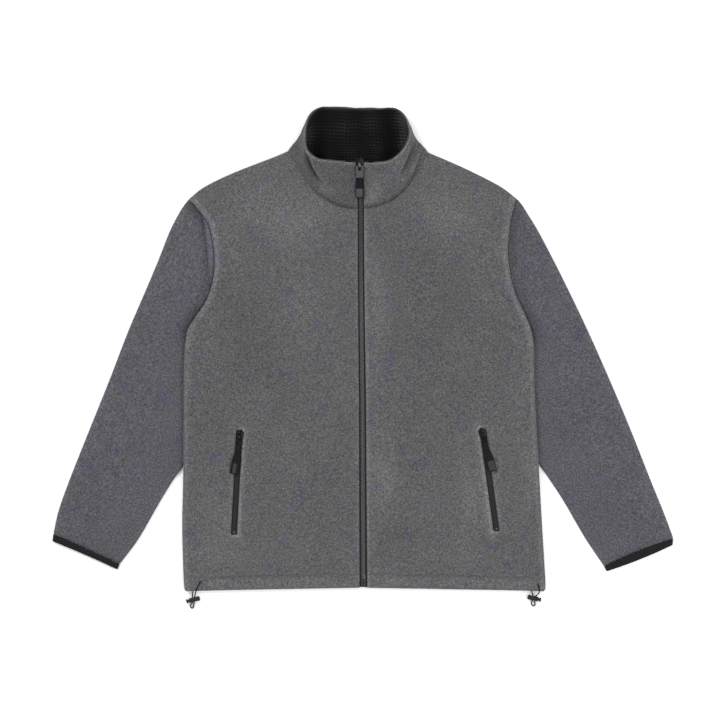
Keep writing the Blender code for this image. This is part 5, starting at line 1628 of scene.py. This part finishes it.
def sew_collar_lining(outer, normal):
    run = lengths(outer[-1])
    places = np.arange(LINING_FROM_ZIP, run[-1] - LINING_FROM_ZIP, WAFFLE_WIDE / 4)
    rows = len(outer)
    grid, way = (np.array([np.column_stack([np.interp(places, run, row[:, k]) for k in range(3)])
                           for row in rows_of]) for rows_of in (outer, normal))
    tall = np.linalg.norm(grid[-1] - grid[0], axis=1).mean()
    count = int(tall / WAFFLE_TALL * 4)
    knots = np.linspace(0, 1, rows)
    fine = np.linspace(0, 1, count)
    pick = np.searchsorted(knots, fine, side="right").clip(1, rows - 1)
    t = ((fine - knots[pick - 1]) / (knots[pick] - knots[pick - 1]))[:, None, None]
    grid = grid[pick - 1] * (1 - t) + grid[pick] * t
    way = way[pick - 1] * (1 - t) + way[pick] * t
    along = places[None] + 1.3 * np.sin(fine * 5)[:, None]
    rise = (fine * tall)[:, None] + 0.8 * np.sin(places / 37)[None]
    knit = waffle(along, rise)
    near_rim = bell((1 - fine) * tall, 2.0)[:, None]
    skin = grid - way * (COLLAR_FLEECE + GAP + LINING - KNIT_DEPTH * knit + 0.3)[:, :, None]
    lift = (np.array([0.0, 0.0, 1.0]) * 0.4 + (grid[-1] - grid[-2])
            / np.linalg.norm(grid[-1] - grid[-2], axis=1)[:, None])
    face = grid - way * (COLLAR_FLEECE + GAP)
    for cloth, (plain, ridged) in zip((skin, face), KNIT_OVER_RIM):
        cloth += lift[None] * (near_rim * (plain + ridged * knit))[:, :, None]
    # Colour follows the knit's relief, painted shade in its pits, with painted light at the sides
    # and along the rim
    tone_and_painted_light = KNIT_DEPTH * knit + KNIT_SHADE["collar"] + lining_shade(skin[:, :, 0]) + near_rim
    piece = shell("waffle_collar", skin, face, "waffle", tone_and_painted_light=tone_and_painted_light)
    worn(piece, "jacket", "waffle_lining", "collar_lining")
    declare(skin)
    sew_neck_lining()


def lining_shade(x):
    """Painted shade where the lining turns up at the sides of the neck, and painted light beyond.
    """
    shade = np.zeros(x.shape)
    for place, width, amount in LINING_SHADES:
        shade += amount * bell(x - place, width)
    return shade


def sew_neck_lining():
    left, right = NECK_LINING_HALF
    x = np.arange(left, right, WAFFLE_WIDE / 4)
    top = np.interp(x, NECK_BACK_LINE[:, 0], NECK_BACK_LINE[:, 1]) + 2.2
    steps = np.linspace(0, 1, int((top.mean() - NECK_LINING_BOTTOM) / WAFFLE_TALL * 4))[:, None]
    y = NECK_LINING_BOTTOM + (top[None] - NECK_LINING_BOTTOM) * steps
    across = np.broadcast_to(x[None], y.shape)
    knit = waffle(across + 0.6 * np.sin(y / 21), y + 0.6 * np.sin(across / 33))
    low = np.full(y.shape, FLEECE + GAP)
    over = np.stack([across, y, low + LINING - 0.3 + KNIT_DEPTH * knit], axis=2)
    under = np.stack([across, y, low], axis=2)
    # Colour follows the knit's relief, painted shade in its pits, with painted light and shade
    # across the lining
    tone_and_painted_light = KNIT_DEPTH * knit + KNIT_SHADE["neck"] + lining_shade(across)
    piece = shell("waffle_neck", over, under, "waffle", tone_and_painted_light=tone_and_painted_light)
    worn(piece, "jacket", "waffle_lining", "back_neck_lining")
    declare(over)


# Solid trims


def solid(outline, low, high, bevel=0.3, segments=2):
    """A bevelled solid in mm from an outline in the plane, between two heights."""
    form = bmesh.new()
    ring = [form.verts.new((x, y, low)) for x, y in outline]
    face = form.faces.new(ring)
    grown = bmesh.ops.extrude_face_region(form, geom=[face])["geom"]
    raised = [v for v in grown if isinstance(v, bmesh.types.BMVert)]
    bmesh.ops.translate(form, vec=(0, 0, high - low), verts=raised)
    bmesh.ops.recalc_face_normals(form, faces=form.faces)
    if bevel:
        sharp = [e for e in form.edges if e.calc_face_angle(0) > 0.6]
        bmesh.ops.bevel(form, geom=sharp, offset=bevel, segments=segments, profile=0.5,
                        affect="EDGES", clamp_overlap=True)
    return form


def rounded_box(width, length, corner, steps=4, x=0.0, y=0.0):
    """Outline of a rectangle with rounded corners."""
    outline = []
    for quarter, (sx, sy) in enumerate(((1, 1), (-1, 1), (-1, -1), (1, -1))):
        for k in range(steps + 1):
            angle = math.radians(90 * (quarter + k / steps))
            outline.append((x + sx * (width / 2 - corner) + corner * math.cos(angle),
                            y + sy * (length / 2 - corner) + corner * math.sin(angle)))
    return outline


def skinned(form, rings):
    """Joins rings of vertices into a closed solid."""
    for a, b in zip(rings, rings[1:]):
        for k in range(len(a)):
            n = (k + 1) % len(a)
            form.faces.new((a[k], a[n], b[n], b[k]))
    form.faces.new(rings[0][::-1])
    form.faces.new(rings[-1])
    bmesh.ops.recalc_face_normals(form, faces=form.faces)
    return form


def turned(profile, segments=36, axis="X"):
    """A turned solid in mm: radius at each place along its axis, both ends closed."""
    form = bmesh.new()
    rings = []
    for place, radius in profile:
        angles = [2 * math.pi * k / segments for k in range(segments)]
        spots = [(place, radius * math.cos(a), radius * math.sin(a)) for a in angles]
        if axis == "Z":
            spots = [(y, z, x) for x, y, z in spots]
        rings.append([form.verts.new(s) for s in spots])
    return skinned(form, rings)


def bent_bar(points, width, thick, sides=8):
    """A bar with a rounded section swept along points in the plane x = 0."""
    form = bmesh.new()
    points = np.asarray(points, float)
    tangent = np.gradient(points, axis=0)
    tangent /= np.linalg.norm(tangent, axis=1)[:, None]
    rings = []
    for (y, z), (ty, tz) in zip(points, tangent):
        ring = []
        for k in range(sides):
            angle = 2 * math.pi * (k + 0.5) / sides
            c, s = math.cos(angle), math.sin(angle)
            side = width / 2 * math.copysign(abs(c) ** BAR_SQUARENESS, c)
            up = thick / 2 * math.copysign(abs(s) ** BAR_SQUARENESS, s)
            ring.append(form.verts.new((side, y - tz * up, z + ty * up)))
        rings.append(ring)
    return skinned(form, rings)


def moved(form, matrix):
    bmesh.ops.transform(form, matrix=matrix, verts=form.verts)
    return form


def fused(name, forms, seat, sharp=42):
    """One piece from several bevelled forms, each with its finish, set down at its seat."""
    whole = bmesh.new()
    finishes = []
    for form, finish in forms:
        if finish not in finishes:
            finishes.append(finish)
        for face in form.faces:
            face.material_index = finishes.index(finish)
        part = bpy.data.meshes.new("part")
        form.to_mesh(part)
        form.free()
        whole.from_mesh(part)
        bpy.data.meshes.remove(part)
    bmesh.ops.transform(whole, matrix=seat, verts=whole.verts)
    bmesh.ops.translate(whole, vec=-MIDDLE, verts=whole.verts)
    bmesh.ops.scale(whole, vec=(MM, MM, MM), verts=whole.verts)
    mesh = bpy.data.meshes.new(name)
    whole.to_mesh(mesh)
    whole.free()
    mesh.shade_smooth()
    mesh.set_sharp_from_angle(angle=math.radians(sharp))
    piece = placed(name, mesh)
    for finish in finishes:
        mesh.materials.append(material_of(finish))
    return piece


def cut_out(piece, form, seat):
    """Cuts a form out of a piece for good."""
    tool = fused(f"{piece.name}_cutter", [(form, "nylon")], seat)
    change = piece.modifiers.new("cut", "BOOLEAN")
    change.operation = "DIFFERENCE"
    change.object = tool
    bpy.context.view_layer.update()
    seen = piece.evaluated_get(bpy.context.evaluated_depsgraph_get())
    cut = bpy.data.meshes.new_from_object(seen)
    piece.modifiers.clear()
    piece.data = cut
    bpy.data.objects.remove(tool)


# Main zip


def collar_slope():
    """Height where the zip turns up the collar, and its rise for each millimetre of y."""
    start = front_height(np.array([[float(zip_x(NECK_FRONT_Y)), NECK_FRONT_Y]]))[0]
    return start, (COLLAR_RIM[0][2] - start) / (COLLAR_RIM[0][1] - ZIP_RISES_FROM)


def zip_surface(points):
    """Height of the cloth beside the main zip, on the fronts and up the collar."""
    start, slope = collar_slope()
    on_collar = start + slope * (points[:, 1] - ZIP_RISES_FROM)
    flat = front_height(np.column_stack([points[:, 0], np.minimum(points[:, 1], NECK_FRONT_Y)]))
    return np.where(points[:, 1] > ZIP_RISES_FROM, on_collar, flat)


def lay_tapes():
    """Woven tapes on both sides of the teeth, each with the cord that its teeth are moulded on."""
    y = spaced(ZIP_TAPE_TOP - HEM_CENTRE_Y - 1, 2.6) + HEM_CENTRE_Y + 1
    off = np.array([0.5, 1.2, 2.0, 2.7, 3.3, 3.8, 4.3, 5.0, 6.5, 9.0, ZIP_TAPE_OUTER])
    for side, sign in SIDES.items():
        x = zip_x(y)[:, None] + sign * off[None]
        across = np.broadcast_to(y[:, None], x.shape)
        flat = np.column_stack([x.reshape(-1), across.reshape(-1)])
        z = zip_surface(flat).reshape(x.shape) - FLEECE - TAPE_GAP
        z = z + 0.35 * bell(off - 3.6, 0.5) - 0.2 * bell(off - 4.6, 0.4)
        upper = np.dstack([x, across, z])
        lower = upper - np.array([0, 0, TAPE * 0.8])
        piece = shell(f"zip_tape_{side}_woven", upper, lower, "twill")
        worn(piece, "jacket", "zip_tape", f"zip_tape_{side}")
        declare(upper)


# Rings of a tooth from its foot up: height, and how far it is drawn in
TOOTH_RINGS = ((-CHAIN_THICK, 0.12), (-0.45, 0.0), (-0.12, 0.14), (0.0, 0.42))
TOOTH_CENTRE = (1.1, 0.0)
TOOTH_CROWN = 0.12
# Painted shadow on the teeth towards the top: amount, where it starts in y and over how many mm
TOOTH_SHADE = (-0.5, 60, 130)


def mould_teeth():
    """Interlocked moulded teeth, alternate on the two tapes."""
    plan, centre = np.array(TOOTH_PLAN), np.array(TOOTH_CENTRE)
    way = plan - centre
    start = HEM_CENTRE_Y + BOX_SIZE[1] + 2.5
    pairs = int((SLIDER_Y - 4 - start) / TOOTH_PITCH)
    corners = len(plan)
    turns = [(j, (j + 1) % corners) for j in range(corners)]
    spots, faces = [], []
    for k in range(2 * pairs):
        sign = 1 if k % 2 else -1
        y = start + k * TOOTH_PITCH / 2
        middle = np.array([[float(zip_x(y)), y]])
        ahead = np.array([[float(zip_x(y + 2)), y + 2]])
        base = zip_surface(middle)[0] + CHAIN_TOP
        tilt = (zip_surface(ahead)[0] + CHAIN_TOP - base) / 2
        first = len(spots)
        for z, inset in TOOTH_RINGS:
            shrink = 1 - inset / np.maximum(np.linalg.norm(way, axis=1), 0.5)
            for a, b in centre + way * shrink[:, None]:
                spots.append((middle[0, 0] + sign * a, y + b, base + z + tilt * b))
        spots.append((middle[0, 0] + sign * centre[0], y, base + TOOTH_CROWN))
        spots.append((middle[0, 0] + sign * centre[0], y, base - CHAIN_THICK))
        top = first + len(TOOTH_RINGS) * corners
        last = top - corners
        made = [(a + j, a + n, a + corners + n, a + corners + j)
                for a in range(first, last, corners) for j, n in turns]
        for j, n in turns:
            made += [(last + j, last + n, top), (first + n, first + j, top + 1)]
        faces += [face if sign > 0 else face[::-1] for face in made]
    mesh = bpy.data.meshes.new("zip_teeth")
    spots = np.array(spots)
    mesh.from_pydata(((spots - np.array(MIDDLE)) * MM).tolist(), [], faces)
    # Painted shadow: the teeth darker towards the top
    amount, dark_from, over = TOOTH_SHADE
    tone_and_light_layer(mesh, amount * smooth((spots[:, 1] - dark_from) / over))
    piece = finish_piece("zip_teeth", mesh, "teeth")
    form = bmesh.new()
    form.from_mesh(mesh)
    bmesh.ops.recalc_face_normals(form, faces=form.faces)
    form.to_mesh(mesh)
    form.free()
    worn(piece, "jacket", "zip_chain", "zip_chain")


def set_box():
    """The retainer box at the lower end, with the pin that slips into it."""
    width, length, height = BOX_SIZE
    y = HEM_CENTRE_Y + 1 + length / 2
    x = float(zip_x(HEM_CENTRE_Y))
    z = zip_surface(np.array([[x, y]]))[0] - FLEECE - TAPE_GAP - TAPE / 2
    forms = [
        (solid(rounded_box(width, length, 1.6), -height / 2, height / 2 - 0.5, 0.5), "charcoal"),
        (solid(rounded_box(width - 2.6, length - 3.4, 1.2), 0, height / 2, 0.4), "charcoal"),
    ]
    turn = Matrix.Rotation(math.radians(90), 4, "Z")
    for sign, radius, straight, end in ((-1, 1.3, 6, 8), (1, 1.2, 5, 6)):
        pin = turned([(length / 2 - 1, radius), (length / 2 + straight, radius),
                      (length / 2 + end, 0.9)], 16)
        forms.append((moved(pin, Matrix.Translation((sign * 1.75, 0, 0.9)) @ turn), "teeth"))
    seat = Matrix.Translation((x, y, z))
    piece = fused("zip_retainer_box", forms, seat)
    hollow = solid(rounded_box(2.6, 5.0, 1.25), height / 2 - 0.5, height / 2 + 1, 0)
    cut_out(piece, moved(hollow, Matrix.Translation((0, -1.2, 0))), seat)
    worn(piece, "jacket", "zip_chain")


def slider_forms(length, lower_plate, arch_finish):
    """A die-cast slider: shield-shaped plate with flanges, and the arch that holds the pull."""
    half = SLIDER_WIDTH / 2
    shield = through([(-half + 0.3, length * 0.5), (-half, length * 0.32), (-half + 0.5, 0.0),
                      (-half + 1.5, -length * 0.34), (-half + 2.3, -length * 0.5)], 1.6)
    right = [(-x, y) for x, y in shield[::-1]]
    notch = [(2.0, length * 0.5), (0, length * 0.36), (-2.0, length * 0.5)]
    outline = [*shield.tolist(), *right, *notch][::-1]
    flange = [[(s * half, y) for y in (length * 0.42, -length * 0.2)]
              + [(s * (half - 1.1), y) for y in (-length * 0.2, length * 0.42)] for s in (-1, 1)]
    eye = -HINGE_FORWARD
    top = SLIDER_PLATE
    arch = through([(eye - EYE_HALF - 1.2, top - 0.3), (eye - EYE_HALF - 1.1, top + 1.6),
                    (eye - 0.6, top + HINGE_UP + EYE_HALF + 0.9),
                    (eye + 2.4, top + BRIDGE_HEIGHT - 0.6), (eye + 4.8, top + 2.3),
                    (eye + 6.6, top - 0.3)], 0.5)
    forms = [
        (solid(outline, 0.1, top, 0.42), "metal"),
        (solid(flange[0], -0.9, top - 0.2, 0.3), "metal"),
        (solid(flange[1], -0.9, top - 0.2, 0.3), "metal"),
        (bent_bar(arch, 2 * BRIDGE_HALF, 1.1, 10), arch_finish),
        (moved(turned([(-0.1, 2.3), (0.35, 2.2), (0.6, 1.6)], 20, "Z"),
               Matrix.Translation((0, length * 0.26, top))), "metal"),
    ]
    if lower_plate:
        low = CHAIN_TOP - CHAIN_THICK - GAP - SLIDER_PLATE - SLIDER_RAISE
        forms.append((solid(outline, low, low + SLIDER_PLATE - 0.1, 0.42), "metal"))
        post = rounded_box(3.4, 3.0, 0.8, 3, 0, length / 2 - 2.4)
        forms.append((solid(post, low + 0.4, 0.6, 0.2), "metal"))
        for sign in (-1, 1):
            wing = [(sign * (half - 1.2), length * 0.5 - 0.2), (sign * half, length * 0.42),
                    (sign * half, length * 0.12), (sign * (half - 1.0), length * 0.12)]
            forms.append((solid(wing, low + 0.4, 0.6, 0.2), "metal"))
    return forms


def pull_forms(kind, rim, pad_finish):
    """A pull lying towards its own -Y: strap link with an eye, ribbed neck and flat paddle."""
    link_width, link_length, neck_top, neck_bottom, neck, paddle_width, paddle = PULLS[kind]
    bar = LINK_THICK / 2
    y = (bar - link_length) / 2
    strap = solid(rounded_box(link_width, link_length + bar, 1.1, 4, 0, y), -bar, bar, 0.45, 3)
    start = -link_length - GAP
    half, wide, broad = neck_top / 2, neck_bottom / 2, paddle_width / 2
    thick = GRIP_THICK / 2
    bottom = start - neck - paddle
    shape = [(-half + 0.8, start), (-half, start - 1.0), (-wide, start - neck + 2),
             (-wide, start - neck), (-broad, start - neck - 1.4), (-broad, bottom + 1.6),
             (-broad + 1.6, bottom)]
    shape += [(-x, y) for x, y in reversed(shape)]
    rows = [(solid(shape, -thick, thick - 0.25, 0.75, 3), "grip_dark")]
    for k in range(3):
        x = (k - 1) * neck_top * 0.29
        rib = [(x * 0.8 - 0.55, start - 1.6), (x * 1.25 - 0.7, start - neck + 2.2),
               (x * 1.25 + 0.7, start - neck + 2.2), (x * 0.8 + 0.55, start - 1.6)]
        rows.append((solid(rib, thick - 0.6, thick - 0.02, 0.3), "grip_dark"))
    # The grey pad sits inside the black rim, whose width on each side is painted shade
    tall = paddle - 1.0 - rim[2]
    pad = rounded_box(paddle_width - rim[0] - rim[1], tall, 1.4, 4, (rim[0] - rim[1]) / 2,
                      bottom + rim[2] + tall / 2)
    rows.append((solid(pad, thick - 0.6, thick, 0.35), pad_finish))
    rows.append((solid(pad, -thick, -thick + 0.6, 0.3), pad_finish))
    return strap, rows


def hang_pull(kind, body, seat, link_node, grip_node, rim, finishes):
    """Puts a pull on its hinge: the strap turns on the slider's arch through its eye."""
    matrix = seat @ Matrix.Translation((0, -HINGE_FORWARD, SLIDER_PLATE + HINGE_UP))
    matrix = matrix @ Matrix.Rotation(math.radians(PULL_DROP[kind]), 4, "X")
    strap, rows = pull_forms(kind, PAD_SHADE_RIMS[rim], finishes[1])
    link = fused(f"{link_node}_strap", [(strap, finishes[0])], matrix)
    long = LINK_EYE_END - LINK_THICK / 2
    hole = rounded_box(2 * LINK_EYE_HALF, long, 1.4, 5, 0, -LINK_THICK / 2 - long / 2)
    cut_out(link, solid(hole, -3, 3, 0), matrix)
    link.data.shade_smooth()
    worn(link, body, "zip_metal", link_node)
    grip = fused(f"{grip_node}_moulded", rows, matrix)
    worn(grip, body, "pull_rubber", grip_node)


def fit_main_slider():
    _, slope = collar_slope()
    x = float(zip_x(SLIDER_Y))
    z = zip_surface(np.array([[x, SLIDER_Y]]))[0]
    seat = Matrix.Translation((x, SLIDER_Y, z)) @ Matrix.Rotation(math.atan(slope), 4, "X")
    seat = seat @ Matrix.Translation((0, 0, SLIDER_RAISE))
    piece = fused("zip_slider_cast", slider_forms(SLIDER_LENGTH, True, "worn_metal"), seat)
    worn(piece, "jacket", "zip_metal", "zip_slider")
    hang_pull("main", "main_pull", seat, "zip_pull_link", "zip_pull_grip", "main",
              ("strap", "grip"))


# Pockets


POCKET_COLUMNS = (0, 0.45, 1.1, 1.9, 2.6, 3.2, 4.2, 6.0, 8.5)
COIL = (1.35, 0.75, 0.09)
COIL_PITCH = 1.35
COIL_STEP = 0.45
TAPE_GROOVE = (0.22, 3.6, 0.45)


def fit_pockets():
    for row in POCKETS:
        side, slider_down, slider_inward, lean = row[0], *row[5:]
        top, long, down, out = pocket_frame(side)
        run = spaced(long, COIL_STEP)
        run = np.concatenate([[-POCKET_TAPE_OVER], run, [long + POCKET_TAPE_OVER]])
        off = np.array([-o for o in POCKET_COLUMNS[:0:-1]] + list(POCKET_COLUMNS))
        flat = top + down * run[:, None, None] + out * off[:, None]
        z = front_height(flat.reshape(-1, 2)).reshape(flat.shape[:2]) - FLEECE - GAP
        inside = smooth((np.minimum(run, long - run) - 0.2) / 2.0)[:, None]
        rise, split, bump = COIL
        coil = rise * smooth((3.3 - np.abs(off)) / 1.2) - split * bell(off, 0.4)
        bumps = np.sin(run / COIL_PITCH * TURN)[:, None] * smooth((2.8 - np.abs(off)) / 0.8)
        depth, place, width = TAPE_GROOVE
        groove = -depth * bell(np.abs(off) - place, width)
        z = z + inside * (coil + bump * bumps) + groove
        upper = np.dstack([flat, z])
        lower = upper - np.array([0, 0, TAPE])
        piece = shell(f"pocket_zip_{side}_woven", upper, lower, "twill")
        worn(piece, "jacket", "zip_tape", f"pocket_zip_{side}")
        declare(upper)
        spot = top + down * slider_down - out * slider_inward
        height = front_height(spot[None])[0] + POCKET_SLIDER_RAISE
        heading = math.atan2(down[0], -down[1]) + math.radians(lean) * SIDES[side]
        seat = Matrix.Translation((*spot, height)) @ Matrix.Rotation(heading, 4, "Z")
        forms = slider_forms(POCKET_SLIDER_LENGTH, False, "metal")
        piece = fused(f"pocket_slider_{side}_cast", forms, seat)
        worn(piece, "jacket", "zip_metal", f"pocket_slider_{side}")
        hang_pull("pocket", f"pocket_pull_{side}", seat, f"pocket_link_{side}",
                  f"pocket_grip_{side}", side, ("grip_dark", "charcoal"))
        # Bottom stop: a dark block whose small grey top is a painted glint
        end = top + down * (long - 3.4)
        height = front_height(end[None])[0] - FLEECE + 1.0
        turn = math.atan2(down[0], -down[1])
        stop = fused(f"pocket_stop_{side}",
                     [(solid(rounded_box(6.4, 4.2, 0.9), -0.6, 0.75, 0.4), "nylon"),
                      (solid(rounded_box(2.4, 2.0, 0.6, 3, 0.6, 0.3), 0.5, 1.0, 0.2), "teeth")],
                     Matrix.Translation((*end, height)) @ Matrix.Rotation(turn, 4, "Z"))
        worn(stop, "jacket", "zip_tape")


# Hem cord locks and eyelets


def fit_locks():
    for side, x, y, turn in LOCKS:
        turned_by = Matrix.Rotation(math.radians(turn), 4, "Z")
        seat = Matrix.Translation((x, y, BARREL_RADIUS)) @ turned_by
        r, end = BARREL_RADIUS, BARREL_LENGTH
        low, high = BARREL_SLOT
        profile = [(0, r * 0.55), (0.15, r * 0.72), (0.6, r * 0.9), (1.3, r * 0.97), (2.1, r)]
        profile += [(high + 0.5, r), (high + 0.8, r * 0.9), (high + 1.1, r * 0.9), (high + 1.4, r)]
        profile += [(end - 0.7, r), (end - 0.2, r * 0.93), (end, r * 0.84)]
        barrel = fused(f"lock_barrel_{side}_moulded", [(turned(profile, 40), "nylon")], seat)
        slot = solid([(low + 0.5, -9), (high - 0.5, -9), (high - 0.5, 9), (low + 0.5, 9)],
                     -BARREL_SLOT_HEIGHT / 2, BARREL_SLOT_HEIGHT / 2, 0)
        cut_out(barrel, slot, seat)
        bore = turned([(end - BORE_DEPTH, BORE_RADIUS), (end + 1, BORE_RADIUS)], 32)
        cut_out(barrel, bore, seat)
        barrel.data.shade_smooth()
        barrel.data.set_sharp_from_angle(angle=math.radians(38))
        worn(barrel, "jacket", "lock_plastic", f"lock_barrel_{side}")
        head_start, head_end, head = PLUNGER_HEAD
        out = end + PLUNGER_OUT
        profile = [(end - PLUNGER_IN, PLUNGER_RADIUS), (out, head_start),
                   (out + 0.5, head_start + 0.5), (out + head * 0.6, head_end * 0.97),
                   (out + head - 0.4, head_end), (out + head - 0.1, head_end * 0.93),
                   (out + head, head_end * 0.8)]
        dimple = [(out + head - 0.25, head_end * 0.6), (out + head - 0.02, head_end * 0.55)]
        forms = [(turned(profile, 36), "nylon"), (turned(dimple, 30), "grip_dark")]
        plunger = fused(f"lock_plunger_{side}_moulded", forms, seat)
        worn(plunger, f"plunger_{side}", "lock_plastic", f"lock_plunger_{side}")


# Stitches round an eyelet, its radius and the thread's, in mm
EYELET = (44, 2.5, 0.75)


def work_eyelets():
    """A worked eyelet in the hem for each cord: close stitches round a small hole."""
    for side in SIDES:
        x, y, _ = CORDS[side][0]
        form = bmesh.new()
        count, ring, thread_radius = EYELET
        rings = []
        for k in range(count):
            around = 2 * math.pi * k / count
            swell = thread_radius * (1 + 0.14 * math.cos(around * count / 2))
            spots = [(ring + swell * math.cos(about), 0.6 * swell * math.sin(about))
                     for about in (2 * math.pi * j / 8 for j in range(8))]
            rings.append([form.verts.new((out * math.cos(around), out * math.sin(around), z))
                          for out, z in spots])
        for a, b in zip(rings, rings[1:] + rings[:1]):
            for j in range(8):
                n = (j + 1) % 8
                form.faces.new((a[j], b[j], b[n], a[n]))
        bmesh.ops.recalc_face_normals(form, faces=form.faces)
        patch_form = turned([(-0.45, ring), (-0.2, ring)], 24, "Z")
        base = front_surface(np.array([[x, y]]), side)[0]
        piece = fused(f"eyelet_{side}", [(form, "thread"), (patch_form, "nylon")],
                      Matrix.Translation((x, y, base + 0.1)))
        worn(piece, "jacket", "fleece")


# Stitching


def front_surface(points, side):
    """Height of a front's outer face with all its relief."""
    outer, _ = body_wall(points, 1)
    height, _ = front_form(points, side)
    gap, _ = folded_edge(points, FOLDS)
    return outer[:, 2] + height * smooth(gap / 7)


# Along one stitch: place, share of the thread's width, and height in mm
STITCH_SHAPE = ((0, 0.05, -0.25), (0.12, 0.8, 0.05), (0.5, 1.0, 0.2), (0.88, 0.8, 0.05),
                (1.0, 0.05, -0.25))


def stitch(name, line, height):
    """A row of lockstitches along a line in the plane, each sunk a little at its ends."""
    total = lengths(line)[-1]
    count = int(total / STITCH_PITCH)
    starts = np.arange(count) * STITCH_PITCH + 0.4
    steps, widths, rises = (np.array(row) for row in zip(*STITCH_SHAPE))
    places = (starts[:, None] + steps[None] * STITCH_LONG).reshape(-1)
    flat = fitted(line, places)
    ahead = fitted(line, places + 0.2) - fitted(line, places - 0.2)
    ahead /= np.maximum(np.linalg.norm(ahead, axis=1), 1e-6)[:, None]
    side = np.column_stack([-ahead[:, 1], ahead[:, 0]])
    z = height(flat)
    thick = np.tile(widths, count) * STITCH_THICK / 2
    rise = np.tile(rises, count)
    angles = 2 * np.pi * np.arange(6) / 6
    spots = np.zeros((len(flat), 6, 3))
    spots[:, :, :2] = flat[:, None] + side[:, None] * (thick[:, None] * np.cos(angles))[:, :, None]
    spots[:, :, 2] = (z + rise)[:, None] + thick[:, None] * np.sin(angles)
    index = np.arange(len(flat) * 6).reshape(count, len(steps), 6)
    a, b = index[:, :-1], index[:, 1:]
    quads = np.stack([a, np.roll(a, -1, 2), np.roll(b, -1, 2), b], -1).reshape(-1, 4)
    mesh = bpy.data.meshes.new(name)
    mesh.from_pydata(((spots.reshape(-1, 3) - np.array(MIDDLE)) * MM).tolist(), [], quads.tolist())
    piece = finish_piece(name, mesh, "thread")
    worn(piece, "jacket", "fleece")


def sew_stitches():
    for side, sign in SIDES.items():
        def height(points):
            return front_surface(points, side)

        inner_x = float(zip_edge_x(side, HEM_CENTRE_Y)) + sign * (ZIP_STITCH + 2)
        x = np.linspace(inner_x, SEAM_LINE[side][0][0] - sign * 6, 120)
        stitch(f"hem_stitches_{side}", np.column_stack([x, hem_y(x, side) + HEM_STITCH]), height)
        y = np.linspace(HEM_CENTRE_Y + 3, NECK_FRONT_Y - 3, 120)
        x = zip_edge_x(side, y) + sign * ZIP_STITCH
        stitch(f"zip_stitches_{side}", np.column_stack([x, y]), height)
        top, long, down, out = pocket_frame(side)
        around = rounded_box(2 * (WINDOW_HALF + 6.4), long + 12.8, 7.0, 6, 0, long / 2)
        loop = np.array([top + out * a + down * b for a, b in [*around, around[0]]])
        stitch(f"pocket_stitches_{side}", loop, height)


# The whole jacket

aim_camera()
lay_cords()
sew_back()
for side_name in SIDES:
    sew_front(side_name)
sew_sleeves()
sew_collar()
lay_tapes()
mould_teeth()
set_box()
fit_main_slider()
fit_pockets()
fit_locks()
work_eyelets()
sew_stitches()
light_studio()
